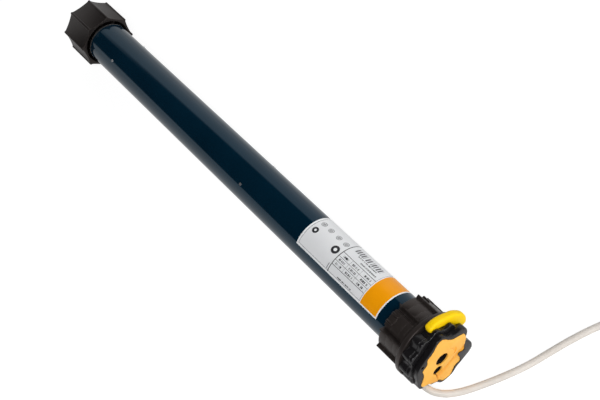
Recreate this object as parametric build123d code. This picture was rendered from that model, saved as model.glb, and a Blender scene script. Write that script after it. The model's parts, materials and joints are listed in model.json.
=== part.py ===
from build123d import *
import math
import os

# Tubular roller blind motor, modelled lying on the floor.
# The origin is the centre of the head's outer face, on the motor's axis. +X points out of the
# head along the axis, +Z is up and +Y is to the right for a viewer who looks at the head.
# Angles around the axis are counted from +Y towards +Z. All lengths are in millimetres.

# Tube and main stations along the axis
tube_radius = 22.5
tube_wall = 1.2
tube_bore = tube_radius - tube_wall
slip = 0.1
tube_front = -44.0
tube_back = -537.0
length_overall = 580.0

# Head
plate_thickness = 1.8
rim_depth = 6.0
block_back = -17.3
neck_bore = 19.0
spigot_back = -72.0
bracket_bore_radius = 6.0
bracket_bore_depth = 14.0
second_hole_radius = 4.5
second_hole_depth = 10.0
second_hole_offset = 12.36
second_hole_angle = -122.5
lobe_count = 12
lobe_radius = 30.0
lobe_height = 1.6
lobe_angle = 20.0
spigot_wall = 2.6
screw_hole_radius = 1.1
screw_hole_offset = 23.6
screw_hole_angle = 169.0
plate_cord_gap = 1.7

# Yellow cap over the two limit buttons
cap_front = -9.8
cap_back = -17.0
cap_front_rounding = 1.6
cap_back_rounding = 0.8
seat_radius = 26.5
seat_front = -9.5
seat_first = -2.0
seat_last = 97.0
cap_radius = 26.7
cap_first = 8.0
cap_last = 91.0
button_radius = 2.8
button_length = 9.0
button_x = -13.4
button_up_y = 8.0
button_down_y = 18.0
button_up_top = 30.4
button_down_top = 26.8
button_gap = 0.08
button_bore_floor = 14.0
button_spring_radius = 1.9
button_spring_wire = 0.22
cap_pocket_gap = 0.7
cap_pocket_height = 1.5

# Crown, the ring that the blind's tube turns on the head
running_gap = 0.06
crown_front = -17.7
crown_flange_back = -22.0
crown_back = -47.5
crown_radius = 27.9
crown_rib_radius = 30.6
crown_flange_radius = 31.8
crown_teeth = 48
crown_gear_back = -31.0
crown_gear_front = -23.0
rib_corner = 22.5
rib_spread = 26.0
rib_width = 1.7
rib_foot_radius = 26.0
groove_front = -26.0
groove_width = 3.0
groove_depth = 1.3
groove_spread = 6.0
small_bar_spread = 8.0
small_bar_width = 2.2
small_bar_height = 1.2
small_bar_front = -40.0

# Counter train that turns the two limit cams
counter_angle = -110.0
pinion_offset = 12.0
pinion_teeth = 24
small_teeth = 8
wheel_teeth = 30
counter_module = 0.5
counter_shaft_radius = 1.5
axle_radius = 1.0
pin_gap = 0.05
pinion_front = -15.0
cam_disc_radius = 5.6
cam_disc_width = 1.4
cam_nose_radius = 2.1
cam_nose_offset = 4.6
chassis_front = -73.0
chassis_back = -99.0
chassis_gap = 0.4
chassis_bar_angles = (-20.0, 90.0, 180.0)
chassis_bar_width = 6.0
wire_hole_radius = 3.4
wire_hole_offset = 13.0
wire_hole_angle = 30.0
board_x = -50.0
board_y = 1.5
board_z = 9.0
board_thickness = 1.6
terminal_ys = (-6.0, -1.0, 4.0, 9.0)

# Planetary gearbox, three stages of the same teeth
gear_module = 0.9
sun_teeth = 9
planet_teeth = 15
ring_teeth = 39
planet_count = 3
planet_offset = gear_module * (sun_teeth + planet_teeth) / 2
pin_radius = 2.0
carrier_radius = 15.6
stage_fronts = (-360.0, -387.0, -416.0)
stage_widths = (16.0, 18.0, 24.0)
carrier_gap = 1.0
carrier_thickness = 4.0
gearbox_front = -354.0
ring_back = -458.0

# Motor and brake
shaft_radius = 4.0
rotor_radius = 11.0
air_gap = 0.3
stator_front = -205.0
stator_back = -305.0
slot_count = 12
slot_offset = 15.0
bush_radius = 6.0
bush_gap = 0.03
shield_hole_radius = 3.0
shield_hole_offset = 15.0
shield_hole_angles = (45, 135, 225, 315)
capacitor_radius = 15.0
capacitor_front = -108.0
capacitor_back = -168.0
collar_stations = (-130.0, -154.0)
collar_width = 8.0
collar_gap = 0.3
winding_end_length = 10.0
winding_end_radius = 18.2
winding_gap = 0.3
end_ring_length = 4.0

# Brake
armature_front = -336.4
armature_back = -339.4
armature_radius = 16.0
armature_bore = 6.0
guide_hole_radius = 1.6
guide_hole_offset = 14.0
brake_disc_front = -339.6
brake_disc_back = -343.6
brake_disc_radius = 15.0
brake_spring_radius = 10.5
brake_spring_wire = 0.5
brake_spring_turns = 3
rear_shield_front = -322.0
rear_shield_back = -328.0
rear_boss_back = -330.0
lining_back = -346.0

# Output and drive wheel
output_radius = 8.0
output_flat = 6.6
wheel_front = -540.0
wheel_corner_radius = 31.1
wheel_shoulder_radius = 29.7
wheel_shoulder_angle = 3.0
wheel_facet_radius = 27.3
wheel_wall = 2.2
wheel_hub_radius = 12.5
wheel_hub_front = -546.0
wheel_web_back = -568.0
wheel_web_front = -564.0
wheel_rib_width = 2.0
wheel_rib_front = -552.0
wheel_recess_radius = 10.5
facet_count = 8
output_bush_radius = 11.0
output_bush_gap = 0.04
inner_bush_back = -472.0
outer_bush_front = -524.0
circlip_front = -577.0
circlip_radius = 9.6
circlip_depth = 0.2
circlip_thickness = 0.9
shaft_end = -579.6

# Cord
cord_radius = 3.1
floor_z = -34.4
coil_turns = 9.5
coil_pitch = 6.8
coil_middle_radius = 37.0
coil_centre = (126.0, 162.0)
coil_start_angle = 160.0
core_length = 38.0
core_radius = 0.62

os.makedirs("parts", exist_ok=True)


def at(radius, angle):
    """Point in the Y-Z plane at a radius and an angle in degrees."""
    return radius * math.cos(math.radians(angle)), radius * math.sin(math.radians(angle))


def prism(outline, x_back, x_front):
    """Stretch a Y-Z outline along the axis between two stations."""
    plane = Plane(origin=(x_back, 0, 0), x_dir=(0, 1, 0), z_dir=(1, 0, 0))
    return extrude(plane * outline, amount=x_front - x_back)


def disc(radius, x_back, x_front, hole=0.0, centre=(0.0, 0.0)):
    """Round bar or ring along X, centred on a Y-Z point."""
    outline = Circle(radius)
    if hole:
        outline -= Circle(hole)
    return prism(Pos(centre[0], centre[1]) * outline, x_back, x_front)


def smooth_outline(polar_points):
    """Closed smooth outline through a few (angle, radius) points."""
    points = [at(radius, angle) for angle, radius in polar_points]
    return make_face(Spline(*points, periodic=True))


def polygon(points):
    return make_face(Polyline(*points, close=True))


def save(shape, name):
    """Write one piece, or a group of identical pieces, under its node's name."""
    solids = shape.solids()
    out = solids[0] if len(solids) == 1 else Compound(children=list(solids))
    export_step(out, os.path.join("parts", name + ".step"))
    print(f"{name}: {len(solids)} solid(s), {sum(s.volume for s in solids):.0f} mm3")
    return shape


# Gear teeth with involute flanks and short tips

pressure_angle = math.radians(20)
tip_share = 0.7
root_share = 0.9
flank_points = 4


def involute(angle):
    return math.tan(angle) - angle


def half_tooth(teeth, module, radius, slack):
    """Half the angle that a tooth covers at a radius, in radians."""
    pitch = module * teeth / 2
    base = pitch * math.cos(pressure_angle)
    at_radius = math.acos(min(1.0, base / radius))
    return math.pi / (2 * teeth) + slack / pitch + involute(pressure_angle) - involute(at_radius)


def gear_outline(teeth, module, first_tooth=0.0, slack=-0.06, inward=False):
    """Outline of a spur gear; inward gives the hole of a ring gear instead."""
    pitch = module * teeth / 2
    low_share, high_share = (tip_share, root_share) if inward else (root_share, tip_share)
    low, high = pitch - low_share * module, pitch + high_share * module
    if inward:
        slack = -slack
    start = max(low, pitch * math.cos(pressure_angle) + 0.001)
    radii = [start + (high - start) * i / flank_points for i in range(flank_points + 1)]
    flank = [(radius, half_tooth(teeth, module, radius, slack)) for radius in radii]
    if low < start:
        flank.insert(0, (low, flank[0][1]))
    points = []
    for tooth in range(teeth):
        middle = math.radians(first_tooth) + 2 * math.pi * tooth / teeth
        for radius, half in flank:
            points.append((radius * math.cos(middle - half), radius * math.sin(middle - half)))
        for radius, half in reversed(flank):
            points.append((radius * math.cos(middle + half), radius * math.sin(middle + half)))
    return polygon(points)


def gear(teeth, module, x_back, x_front, centre, first_tooth=0.0):
    return prism(Pos(*centre) * gear_outline(teeth, module, first_tooth), x_back, x_front)


# Head: face plate, lobed block, neck that carries the crown, spigot inside the tube

plate_points = (
    (22, 27), (6, 26.6), (-10, 24.3), (-26, 24.6), (-33, 25.2), (-38, 20.6), (-45, 22.4), (-54, 28),
    (-60, 28.6), (-69, 27.3), (-78, 31.2), (-87, 33.8), (-97, 32), (-106, 27.2), (-122, 26.8),
    (-136, 28.6), (-149, 29.6), (-157, 25.6), (-168, 21.3), (178, 19.9), (166, 20.9), (147, 17.3),
    (131, 19.4), (112, 18.9), (99, 22.3), (88, 26), (76, 25.9), (61, 21.7), (47, 20.8), (34, 23.4),
)
rim_points = (
    (22, 29.4), (6, 28.6), (-10, 29.4), (-26, 32.4), (-43, 32.8), (-57, 31.2), (-68, 29.6),
    (-87, 34.4), (-101, 33.2), (-112, 28.8), (-124, 28.6), (-148, 31.6), (-163, 28.6), (180, 26.8),
    (164, 26.4), (146, 22.4), (128, 22.2), (110, 22.8), (98, 25.4), (87, 28.1), (75, 28), (60, 24.4),
    (47, 23.6), (34, 26.6),
)
gland_centre = (-21.5, -22.5)
gland_radius = 4.6
gland_front = -11.0
peg_angles = (30.0, 84.0, -58.0)
peg_radius = 1.4
peg_offset = 21.5
peg_depth = 5.0
face_groove_points = ((-5.6, -17.6), (11.6, -11.2), (13.2, -14.4), (-4.3, -21.2))
face_groove_depth = 0.6
slit_points = ((-9.5, -13.0), (-8.9, -13.0), (-8.1, -19.9), (-9.5, -30.0), (-10.1, -30.0), (-8.7, -19.9))
counter_axis = at(pinion_offset, counter_angle)


def lobed_outline():
    """Twelve round lobes around the head, as one polar wave."""
    points = []
    for step in range(lobe_count * 4):
        angle = lobe_angle + step * 360 / (lobe_count * 4)
        wave = math.cos(math.radians(lobe_count * (angle - lobe_angle)))
        points.append((angle, lobe_radius + lobe_height * wave))
    return smooth_outline(points)


def upright_pin(radius, y, z_low, z_high, x):
    return Pos(x, y, (z_low + z_high) / 2) * Cylinder(radius, z_high - z_low)


def second_hole(x_back, x_front):
    return disc(second_hole_radius, x_back, x_front, centre=at(second_hole_offset, second_hole_angle))


def make_face_plate():
    plate = prism(smooth_outline(plate_points), -plate_thickness, 0)
    plate -= disc(bracket_bore_radius, -plate_thickness, 0)
    plate -= second_hole(-plate_thickness, 0)
    plate -= prism(polygon(slit_points), -plate_thickness, 0)
    plate -= prism(polygon(face_groove_points), -face_groove_depth, 0)
    plate -= disc(cord_radius + plate_cord_gap, -plate_thickness, 0, centre=gland_centre)
    for angle in peg_angles:
        plate += disc(peg_radius, -plate_thickness - peg_depth, -plate_thickness, centre=at(peg_offset, angle))
    return plate


def seat_space(radius, x_back, x_front, first, last):
    """Part of a ring between two angles, out to beyond the lobes."""
    steps = [first + (last - first) * i / 4 for i in range(5)]
    corners = [(0.0, 0.0)] + [at(60, angle) for angle in steps]
    return prism(polygon(corners) - Circle(radius), x_back, x_front)


def make_head():
    block = prism(lobed_outline(), block_back, -rim_depth)
    rim = prism(smooth_outline(rim_points), -rim_depth, -plate_thickness)
    neck = disc(tube_radius, tube_front, block_back, hole=neck_bore)
    spigot = disc(tube_bore - slip, spigot_back, tube_front, hole=tube_bore - slip - spigot_wall)
    head = block + rim + neck + spigot
    head -= disc(bracket_bore_radius, -bracket_bore_depth, -plate_thickness)
    head -= second_hole(-second_hole_depth, -plate_thickness)
    head -= disc(counter_shaft_radius + pin_gap, block_back, pinion_front + 0.5, centre=counter_axis)
    head -= seat_space(seat_radius, block_back, seat_front, seat_first, seat_last)
    for y in (button_up_y, button_down_y):
        head -= upright_pin(button_radius + button_gap, y, button_bore_floor, 40, button_x)
    for angle in peg_angles:
        head -= disc(peg_radius, -plate_thickness - peg_depth, -plate_thickness, centre=at(peg_offset, angle))
    head -= disc(gland_radius, block_back, -plate_thickness, centre=gland_centre)
    head -= disc(screw_hole_radius, -12, -plate_thickness, centre=at(screw_hole_offset, screw_hole_angle))
    return head - pinion_window()


def pinion_window():
    """Window in the neck through which the pinion reaches the crown's teeth."""
    width = 2 * pinion_offset + 3
    low, high = pinion_offset + 0.5, tube_radius + 5
    middle = (crown_gear_front + crown_gear_back) / 2
    window = Box(crown_gear_front - crown_gear_back + 1, width, high - low)
    return Pos(middle, *at((low + high) / 2, counter_angle)) * Rot(counter_angle + 90, 0, 0) * window


def make_gland():
    """Collar in the head that holds the cord."""
    gland = disc(gland_radius, block_back, gland_front, centre=gland_centre)
    gland += disc(gland_radius - 0.5, gland_front, gland_front + 1.2, centre=gland_centre)
    return gland


# Cap, buttons and their springs

cap_outer = (
    (93, 29.6), (90, 32.2), (83, 34.2), (74, 35.2), (65, 35.6), (57, 36.3), (45, 37.9), (32, 38.8),
    (20, 39.3), (12, 38.9), (6, 36.8), (3.5, 33.4), (4.5, 30),
)


def make_cap():
    outer = [at(radius, angle) for angle, radius in cap_outer]
    low_end = at(cap_radius, cap_first)
    left_end = at(cap_radius, cap_last)
    inner = ThreePointArc(low_end, at(cap_radius, (cap_first + cap_last) / 2), left_end)
    skin = Spline(left_end, *outer, low_end)
    cap = prism(make_face(Wire([inner, skin])), cap_back, cap_front)
    cap = fillet(cap.edges().group_by(Axis.X)[-1], cap_front_rounding)
    cap = fillet(cap.edges().group_by(Axis.X)[0], cap_back_rounding)
    for y in (button_up_y, button_down_y):
        cap -= upright_pin(button_radius + cap_pocket_gap, y, 10, button_top(y) + cap_pocket_height, button_x)
    return cap


def button_top(y):
    return button_up_top if y == button_up_y else button_down_top


def make_button(y):
    button = upright_pin(button_radius, y, button_top(y) - button_length, button_top(y), button_x)
    return chamfer(button.edges().group_by(Axis.Z)[-1], 0.5)


def make_button_spring(y):
    """Small coil spring between the floor of the bore and the button."""
    room = button_top(y) - button_length - button_bore_floor
    height = room - 3 * button_spring_wire
    coil = Helix(pitch=height / 4, height=height, radius=button_spring_radius)
    wire = sweep(Plane(origin=coil @ 0, z_dir=coil % 0) * Circle(button_spring_wire), path=coil)
    return Pos(button_x, y, button_bore_floor + 1.5 * button_spring_wire) * wire


# Crown with its ribs and the tooth ring inside


def bar_on(radius_low, radius_high, width, angle, x_back, x_front):
    """Straight bar along X that stands on a radius at an angle."""
    middle = (radius_low + radius_high) / 2
    outline = Rot(0, 0, angle) * Pos(middle, 0) * Rectangle(radius_high - radius_low, width)
    return prism(outline, x_back, x_front)


def make_crown():
    crown = disc(crown_radius, crown_back, crown_flange_back)
    crown += disc(crown_flange_radius, crown_flange_back, crown_front)
    for quarter in range(4):
        corner = rib_corner + 90 * quarter
        for side in (-1, 1):
            angle = corner + side * rib_spread
            crown += bar_on(rib_foot_radius, crown_rib_radius, rib_width, angle, crown_back, crown_flange_back)
            crown -= bar_on(crown_radius - groove_depth, crown_flange_radius, groove_width,
                            angle - side * groove_spread, crown_back, groove_front)
        for side in (-1, 1):
            crown += bar_on(rib_foot_radius, crown_radius + small_bar_height, small_bar_width,
                            corner + side * small_bar_spread, crown_back, small_bar_front)
    crown -= disc(tube_radius + running_gap, crown_back, crown_front)
    ring = gear_outline(crown_teeth, 1.0, counter_angle, inward=True)
    return crown - prism(ring, crown_gear_back, crown_gear_front)


# Counter train: pinion shaft, two counting wheels and two cams on a second axle

axle_offset = pinion_offset - counter_module * (small_teeth + wheel_teeth) / 2
axle_centre = at(axle_offset, counter_angle)
towards_axle = counter_angle + 180


def meshed(teeth, facing):
    """First tooth angle that puts the gap between two teeth towards a given angle."""
    return facing + 180 / teeth


def make_limit_pinion():
    pinion = gear(pinion_teeth, 1.0, -30, -24, counter_axis, counter_angle)
    pinion += disc(counter_shaft_radius, -76, pinion_front, centre=counter_axis)
    pinion += gear(small_teeth, counter_module, -79, -76, counter_axis, towards_axle)
    pinion += disc(axle_radius, -96.5, -79, centre=counter_axis)
    return pinion


def wheel_and_small(x_wheel, x_split, x_end, centre, facing):
    """Counting wheel with its small gear behind it, turning on a pin."""
    wheel = gear(wheel_teeth, counter_module, x_split, x_wheel, centre, meshed(wheel_teeth, facing))
    wheel += gear(small_teeth, counter_module, x_end, x_split, centre, facing)
    return wheel - disc(axle_radius + pin_gap, x_end, x_wheel, centre=centre)


def make_cam(x_front, nose_angle):
    cam = gear(wheel_teeth, counter_module, x_front - 3, x_front, axle_centre, meshed(wheel_teeth, counter_angle))
    gear_back = x_front - 3
    cam += disc(cam_disc_radius, gear_back - cam_disc_width, gear_back, centre=axle_centre)
    nose = Rot(0, 0, nose_angle) * Pos(cam_nose_offset, 0) * Circle(cam_nose_radius)
    cam += prism(Pos(*axle_centre) * nose, gear_back - cam_disc_width, gear_back)
    return cam - disc(axle_radius + pin_gap, gear_back - cam_disc_width, x_front, centre=axle_centre)


def make_chassis():
    """Frame with two round plates and three bars that holds the counter train."""
    chassis = disc(tube_bore - chassis_gap, chassis_front - 2.2, chassis_front)
    chassis += disc(tube_bore - chassis_gap, chassis_back, chassis_back + 2.4)
    for angle in chassis_bar_angles:
        chassis += bar_on(17.6, 20.4, chassis_bar_width, angle, chassis_back, chassis_front)
    chassis -= disc(counter_shaft_radius + pin_gap, -80, -70, centre=counter_axis)
    chassis -= disc(axle_radius + pin_gap, -98, -90, centre=counter_axis)
    chassis -= disc(axle_radius, chassis_back, chassis_front, centre=axle_centre)
    wire_hole = at(wire_hole_offset, wire_hole_angle)
    chassis -= disc(wire_hole_radius, chassis_front - 3, chassis_front, centre=wire_hole)
    return chassis - disc(wire_hole_radius, chassis_back, chassis_back + 3, centre=wire_hole)


def make_switch(x_front):
    """Small snap switch with a plunger that faces the cam."""
    turn = Rot(0, 0, towards_axle)
    case = turn * Pos(10.9, 0) * Rectangle(6.2, 12.8)
    plunger = turn * Pos(7.3, 0) * Rectangle(1.2, 2.0)
    switch = prism(case, x_front - 4.6, x_front)
    return switch + prism(plunger, x_front - 3.4, x_front - 1.2)


def make_switch_pair():
    return make_switch(-83.6) + make_switch(-89.2)


def make_terminal_board():
    board = Pos(board_x, board_y, board_z) * Box(26, 22, board_thickness)
    block_z = board_z + board_thickness / 2 + 2
    for y in terminal_ys:
        board += Pos(board_x + 4, y, block_z) * Box(12, 4, 4)
        board -= Pos(board_x + 10, y, block_z) * Rot(0, 90, 0) * Cylinder(1.2, 8)
    return board


# Capacitor, motor and brake

def make_capacitor():
    can = fillet(disc(capacitor_radius, capacitor_back, capacitor_front).edges(), 1.0)
    for y in (-4, 4):
        can += Pos(capacitor_front + 2.5, y, 0) * Box(5, 0.8, 6)
    return can


def make_collars():
    first, second = [disc(tube_bore - collar_gap, x, x + collar_width, hole=capacitor_radius)
                     for x in collar_stations]
    return first + second


def make_shield(x_back, x_front, boss_back, boss_front):
    """End shield of the motor with the seat of its bush."""
    shield = disc(tube_bore - slip, x_back, x_front) + disc(9, boss_back, boss_front)
    for angle in shield_hole_angles:
        shield -= disc(shield_hole_radius, x_back, x_front, centre=at(shield_hole_offset, angle))
    return shield - disc(bush_radius, boss_back, boss_front)


def slot_shape(angle):
    return Rot(0, 0, angle) * Pos(slot_offset, 0) * RectangleRounded(6, 3.4, 1.2)


def make_stator():
    core = Circle(tube_bore - slip) - Circle(rotor_radius + air_gap)
    for slot in range(slot_count):
        angle = slot * 360 / slot_count
        core -= slot_shape(angle)
        core -= Rot(0, 0, angle) * Pos(12, 0) * Rectangle(3, 1.2)
    return prism(core, stator_back, stator_front)


def make_windings():
    inner = rotor_radius + 1.2
    front, back = stator_front + winding_gap, stator_back - winding_gap
    coils = disc(winding_end_radius, front, stator_front + winding_end_length, hole=inner)
    coils += disc(winding_end_radius, stator_back - winding_end_length, back, hole=inner)
    for slot in range(slot_count):
        coils += prism(slot_shape(slot * 360 / slot_count), back, front)
    return coils


def make_rotor_core():
    """Laminated core with a cast ring at each end."""
    core = disc(rotor_radius, stator_back, stator_front, hole=shaft_radius)
    core += disc(rotor_radius - 0.5, stator_back - end_ring_length, stator_back, hole=8)
    core += disc(rotor_radius - 0.5, stator_front, stator_front + end_ring_length, hole=8)
    return core


sun_back = stage_fronts[0] - stage_widths[0]


def make_rotor_shaft():
    shaft = disc(shaft_radius, -357, -181)
    return shaft + disc(pin_radius, sun_back, -357)


def make_bushes():
    front = disc(bush_radius, -192, -182, hole=shaft_radius + bush_gap)
    return front + disc(bush_radius, rear_boss_back, rear_boss_back + 10, hole=shaft_radius + bush_gap)


def make_brake_spring():
    """Coil spring between the rear shield and the armature."""
    clearance = 0.06
    height = rear_shield_back - armature_front - 2 * (brake_spring_wire + clearance)
    coil = Helix(pitch=height / brake_spring_turns, height=height, radius=brake_spring_radius)
    wire = sweep(Plane(origin=coil @ 0, z_dir=coil % 0) * Circle(brake_spring_wire), path=coil)
    return Pos(armature_front + brake_spring_wire + clearance, 0, 0) * Rot(0, 90, 0) * wire


def make_armature():
    plate = disc(armature_radius, armature_back, armature_front, hole=armature_bore)
    for angle in (0, 120, 240):
        plate -= disc(guide_hole_radius, armature_back, armature_front, centre=at(guide_hole_offset, angle))
    return plate


def make_brake_disc():
    plate = disc(brake_disc_radius, brake_disc_back, brake_disc_front, hole=shaft_radius)
    return plate + disc(6.5, lining_back - 0.5, brake_disc_back, hole=shaft_radius)


def make_lining():
    return disc(brake_disc_radius, lining_back, brake_disc_back - 0.15, hole=9)


def make_gearbox_plate():
    """Plate between brake and gearbox, with a rim that holds the lining."""
    plate = disc(tube_bore - slip, gearbox_front, lining_back, hole=shaft_radius + 1)
    plate += disc(tube_bore - slip, lining_back, rear_boss_back, hole=17.2)
    plate -= disc(7.4, lining_back - 1, lining_back, hole=shaft_radius)
    return plate


# Planetary gearbox

planet_angles = tuple(360 * k / planet_count for k in range(planet_count))


def make_ring_gear():
    outline = Circle(tube_bore - slip) - gear_outline(ring_teeth, gear_module, 0, inward=True)
    return prism(outline, ring_back, gearbox_front)


def make_sun_one():
    return gear(sun_teeth, gear_module, sun_back, stage_fronts[0], (0, 0)) - disc(pin_radius, sun_back, -350)


def make_planet(stage, angle):
    front = stage_fronts[stage]
    centre = at(planet_offset, angle)
    planet = gear(planet_teeth, gear_module, front - stage_widths[stage], front, centre, angle)
    return planet - disc(pin_radius + pin_gap, front - stage_widths[stage], front, centre=centre)


def carrier_faces(stage):
    """Front and back of a carrier's plate."""
    front = stage_fronts[stage] - stage_widths[stage] - carrier_gap
    return front, front - carrier_thickness - (2 if stage == 2 else 0)


def make_carrier(stage):
    front, back = carrier_faces(stage)
    plate = disc(carrier_radius, back, front)
    if stage < 2:
        plate += gear(sun_teeth, gear_module, stage_fronts[stage + 1] - stage_widths[stage + 1], back, (0, 0))
    else:
        plate -= disc(6, back, front)
    for angle in planet_angles:
        plate -= disc(pin_radius, back, front, centre=at(planet_offset, angle))
    return plate


def make_planet_pins(stage):
    front, back = carrier_faces(stage)
    pins = [disc(pin_radius, back, stage_fronts[stage] + 0.8, centre=at(planet_offset, angle))
            for angle in planet_angles]
    return Compound(children=[pin.solid() for pin in pins])


# Output shaft, its flange and bushes, drive wheel and circlip

flange_back = tube_back - 2.0
circlip_seat = output_flat - circlip_depth


def flatted(radius, flat):
    """Round bar section with two flats."""
    return Circle(radius) & Rectangle(2 * radius, 2 * flat)


def make_output_shaft():
    front, back = carrier_faces(2)
    shaft = disc(6, back, front) + disc(output_radius, flange_back - 0.8, back)
    shaft += prism(flatted(output_radius, output_flat), shaft_end, flange_back - 0.8)
    groove_back = circlip_front - circlip_thickness - 0.2
    return shaft - disc(output_radius + 1, groove_back, circlip_front, hole=circlip_seat)


def make_output_flange():
    flange = disc(tube_bore - slip, tube_back, ring_back) + disc(tube_radius, flange_back, tube_back)
    flange -= disc(output_radius + 1.2, flange_back, ring_back)
    flange -= disc(output_bush_radius, inner_bush_back, ring_back)
    return flange - disc(output_bush_radius, flange_back, outer_bush_front)


def make_output_bushes():
    hole = output_radius + output_bush_gap
    inner = disc(output_bush_radius, inner_bush_back, ring_back - 1, hole=hole)
    return inner + disc(output_bush_radius, flange_back + 1, outer_bush_front, hole=hole)


def wheel_outline(corner, shoulder, spread, facet):
    """Octagon with a round ridge at each corner and slightly hollow facets."""
    edges = []
    step = 360 / facet_count
    for k in range(facet_count):
        middle = (k + 0.5) * step
        ridge = [at(shoulder, middle - spread), at(corner, middle), at(shoulder, middle + spread)]
        next_shoulder = at(shoulder, middle + step - spread)
        edges.append(ThreePointArc(*ridge))
        edges.append(ThreePointArc(ridge[2], at(facet, middle + step / 2), next_shoulder))
    return make_face(Wire(edges))


def make_drive_wheel():
    back = -length_overall
    shell = wheel_outline(wheel_corner_radius, wheel_shoulder_radius, wheel_shoulder_angle, wheel_facet_radius)
    shell -= Circle(wheel_facet_radius - wheel_wall)
    inside = wheel_facet_radius - 1
    wheel = prism(shell, back, wheel_front)
    wheel += disc(inside, wheel_web_back, wheel_web_front)
    wheel += disc(wheel_hub_radius, back, wheel_hub_front)
    for k in range(facet_count):
        wheel += bar_on(10, inside, wheel_rib_width, (k + 0.5) * 360 / facet_count, back + 3, wheel_rib_front)
    wheel -= prism(flatted(output_radius, output_flat), back, wheel_front)
    return wheel - disc(wheel_recess_radius, back, circlip_front)


def make_circlip():
    """Snap ring that keeps the wheel on the shaft."""
    back = circlip_front - 0.1 - circlip_thickness
    ring = disc(circlip_radius, back, circlip_front - 0.1, hole=circlip_seat)
    return ring - Pos(back, 0, -8) * Box(4, 3, 8)


# Tube with its rivets and the rating label

rivet_stations = (-259.0, -494.0)
rivet_angles = (133.5, 13.5, -106.5)
rivet_radius = 1.5
rivet_foot = 19.6
rivet_top = 22.9


def rivets(x):
    """Three pins around the tube at one station."""
    pin = Rot(90, 0, 0) * Cylinder(rivet_radius, rivet_top - rivet_foot)
    return [Rot(angle, 0, 0) * Pos(x, (rivet_foot + rivet_top) / 2, 0) * pin for angle in rivet_angles]


def all_rivets():
    return [pin for x in rivet_stations for pin in rivets(x)]


def without(shape, cutters):
    for cutter in cutters:
        shape = shape - cutter
    return shape


def make_tube():
    return without(disc(tube_radius, tube_back, tube_front, hole=tube_bore), all_rivets())


label_front = -60.0
label_back = -170.0
label_first = 20.0
label_last = 142.5
label_thickness = 0.12


def make_label():
    sector = [(0.0, 0.0)] + [at(40, label_first + (label_last - label_first) * i / 6) for i in range(7)]
    ring = Circle(tube_radius + label_thickness) - Circle(tube_radius)
    return prism(ring & polygon(sector), label_back, label_front)


# Cord: one free stretch along the floor, a coil and the bare end

lead_route = (
    (-9.8, -21.5, -22.5), (-1.8, -21.5, -22.5), (6.6, -19.0, -24.0), (14.0, -13.0, -26.6),
    (19.6, -4.6, -29.4), (24.6, 7.0, -31.3), (30.4, 21.6, -31.3), (35.6, 38.2, -31.3),
    (39.0, 56.4, -31.3), (42.4, 76.0, -31.3), (46.6, 96.4, -31.3), (52.6, 117.8, -31.3),
    (60.2, 138.6, -31.3),
)
cord_z = floor_z + cord_radius


def coil_place(turn):
    """Centre of the cord after a number of turns of the coil, counted from its start."""
    half = coil_turns / 2
    outer = coil_middle_radius + coil_pitch * half / 2
    radius = outer - coil_pitch * (half - abs(turn - half))
    climb = min(1.0, max(0.0, (turn - half + 0.25) / 0.5))
    height = (2 * cord_radius + 0.6) * climb * climb * (3 - 2 * climb)
    angle = math.radians(coil_start_angle - 360 * turn)
    return Vector(coil_centre[0] + radius * math.cos(angle), coil_centre[1] + radius * math.sin(angle),
                  cord_z + height)


def coil_direction(turn):
    step = 0.02
    return (coil_place(turn + step) - coil_place(turn - step)).normalized()


def biarc(start, start_direction, end, end_direction):
    """Two arcs that leave and arrive in the given directions."""
    gap = end - start
    both = start_direction + end_direction
    a = 2 * (1 - start_direction.dot(end_direction))
    b = 2 * gap.dot(both)
    c = -gap.dot(gap)
    reach = (-b + math.sqrt(b * b - 4 * a * c)) / (2 * a)
    middle = (start + start_direction * reach + end - end_direction * reach) * 0.5
    first = Edge.make_tangent_arc(start, start_direction, middle)
    return [first, Edge.make_tangent_arc(middle, first % 1, end)]


def rounded_route(points):
    """Straight runs joined by the largest tangent arcs that fit."""
    points = [Vector(*p) for p in points]
    edges, radii, here = [], [], points[0]
    for before, corner, after in zip(points, points[1:], points[2:]):
        inward, outward = (corner - before), (after - corner)
        turn = math.radians(inward.get_angle(outward))
        reach = 0.45 * min(inward.length, outward.length)
        radii.append(reach / math.tan(turn / 2))
        arc_start = corner - inward.normalized() * reach
        arc_end = corner + outward.normalized() * reach
        edges.append(Edge.make_line(here, arc_start))
        edges.append(Edge.make_tangent_arc(arc_start, inward.normalized(), arc_end))
        here = arc_end
    edges.append(Edge.make_line(here, points[-1]))
    return Wire(edges), radii


def tube_along(route, radius=cord_radius):
    start = Plane(origin=route @ 0, z_dir=route % 0)
    return sweep(start * Circle(radius), path=route)


def report_tube(name, solid, route):
    ratio = solid.volume / (math.pi * cord_radius ** 2 * route.length)
    print(f"{name}: length {route.length:.1f} mm, volume over section times length {ratio:.4f}")


def coil_gap():
    """Least gap of the coil to itself, on points along it."""
    per_turn = 48
    places = [coil_place(i / per_turn) for i in range(int(coil_turns * per_turn) + 1)]
    least = min((places[i] - places[j]).length for i in range(len(places))
                for j in range(i + per_turn // 2, len(places)))
    return least - 2 * cord_radius


def make_cord():
    start = coil_place(0)
    start_direction = coil_direction(0.02)
    approach = start - start_direction * 22.0
    lead, radii = rounded_route(lead_route + (tuple(approach), tuple(start)))
    edges = []
    quarters = int(coil_turns * 4)
    for k in range(quarters):
        first = start_direction if k == 0 else coil_direction(k / 4)
        edges += biarc(coil_place(k / 4), first, coil_place((k + 1) / 4), coil_direction((k + 1) / 4))
    coil = Wire(edges)
    print("cord bend radii:", " ".join(f"{radius:.0f}" for radius in radii))
    print(f"coil: least gap to itself {coil_gap():.2f} mm")
    return lead, coil


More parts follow.
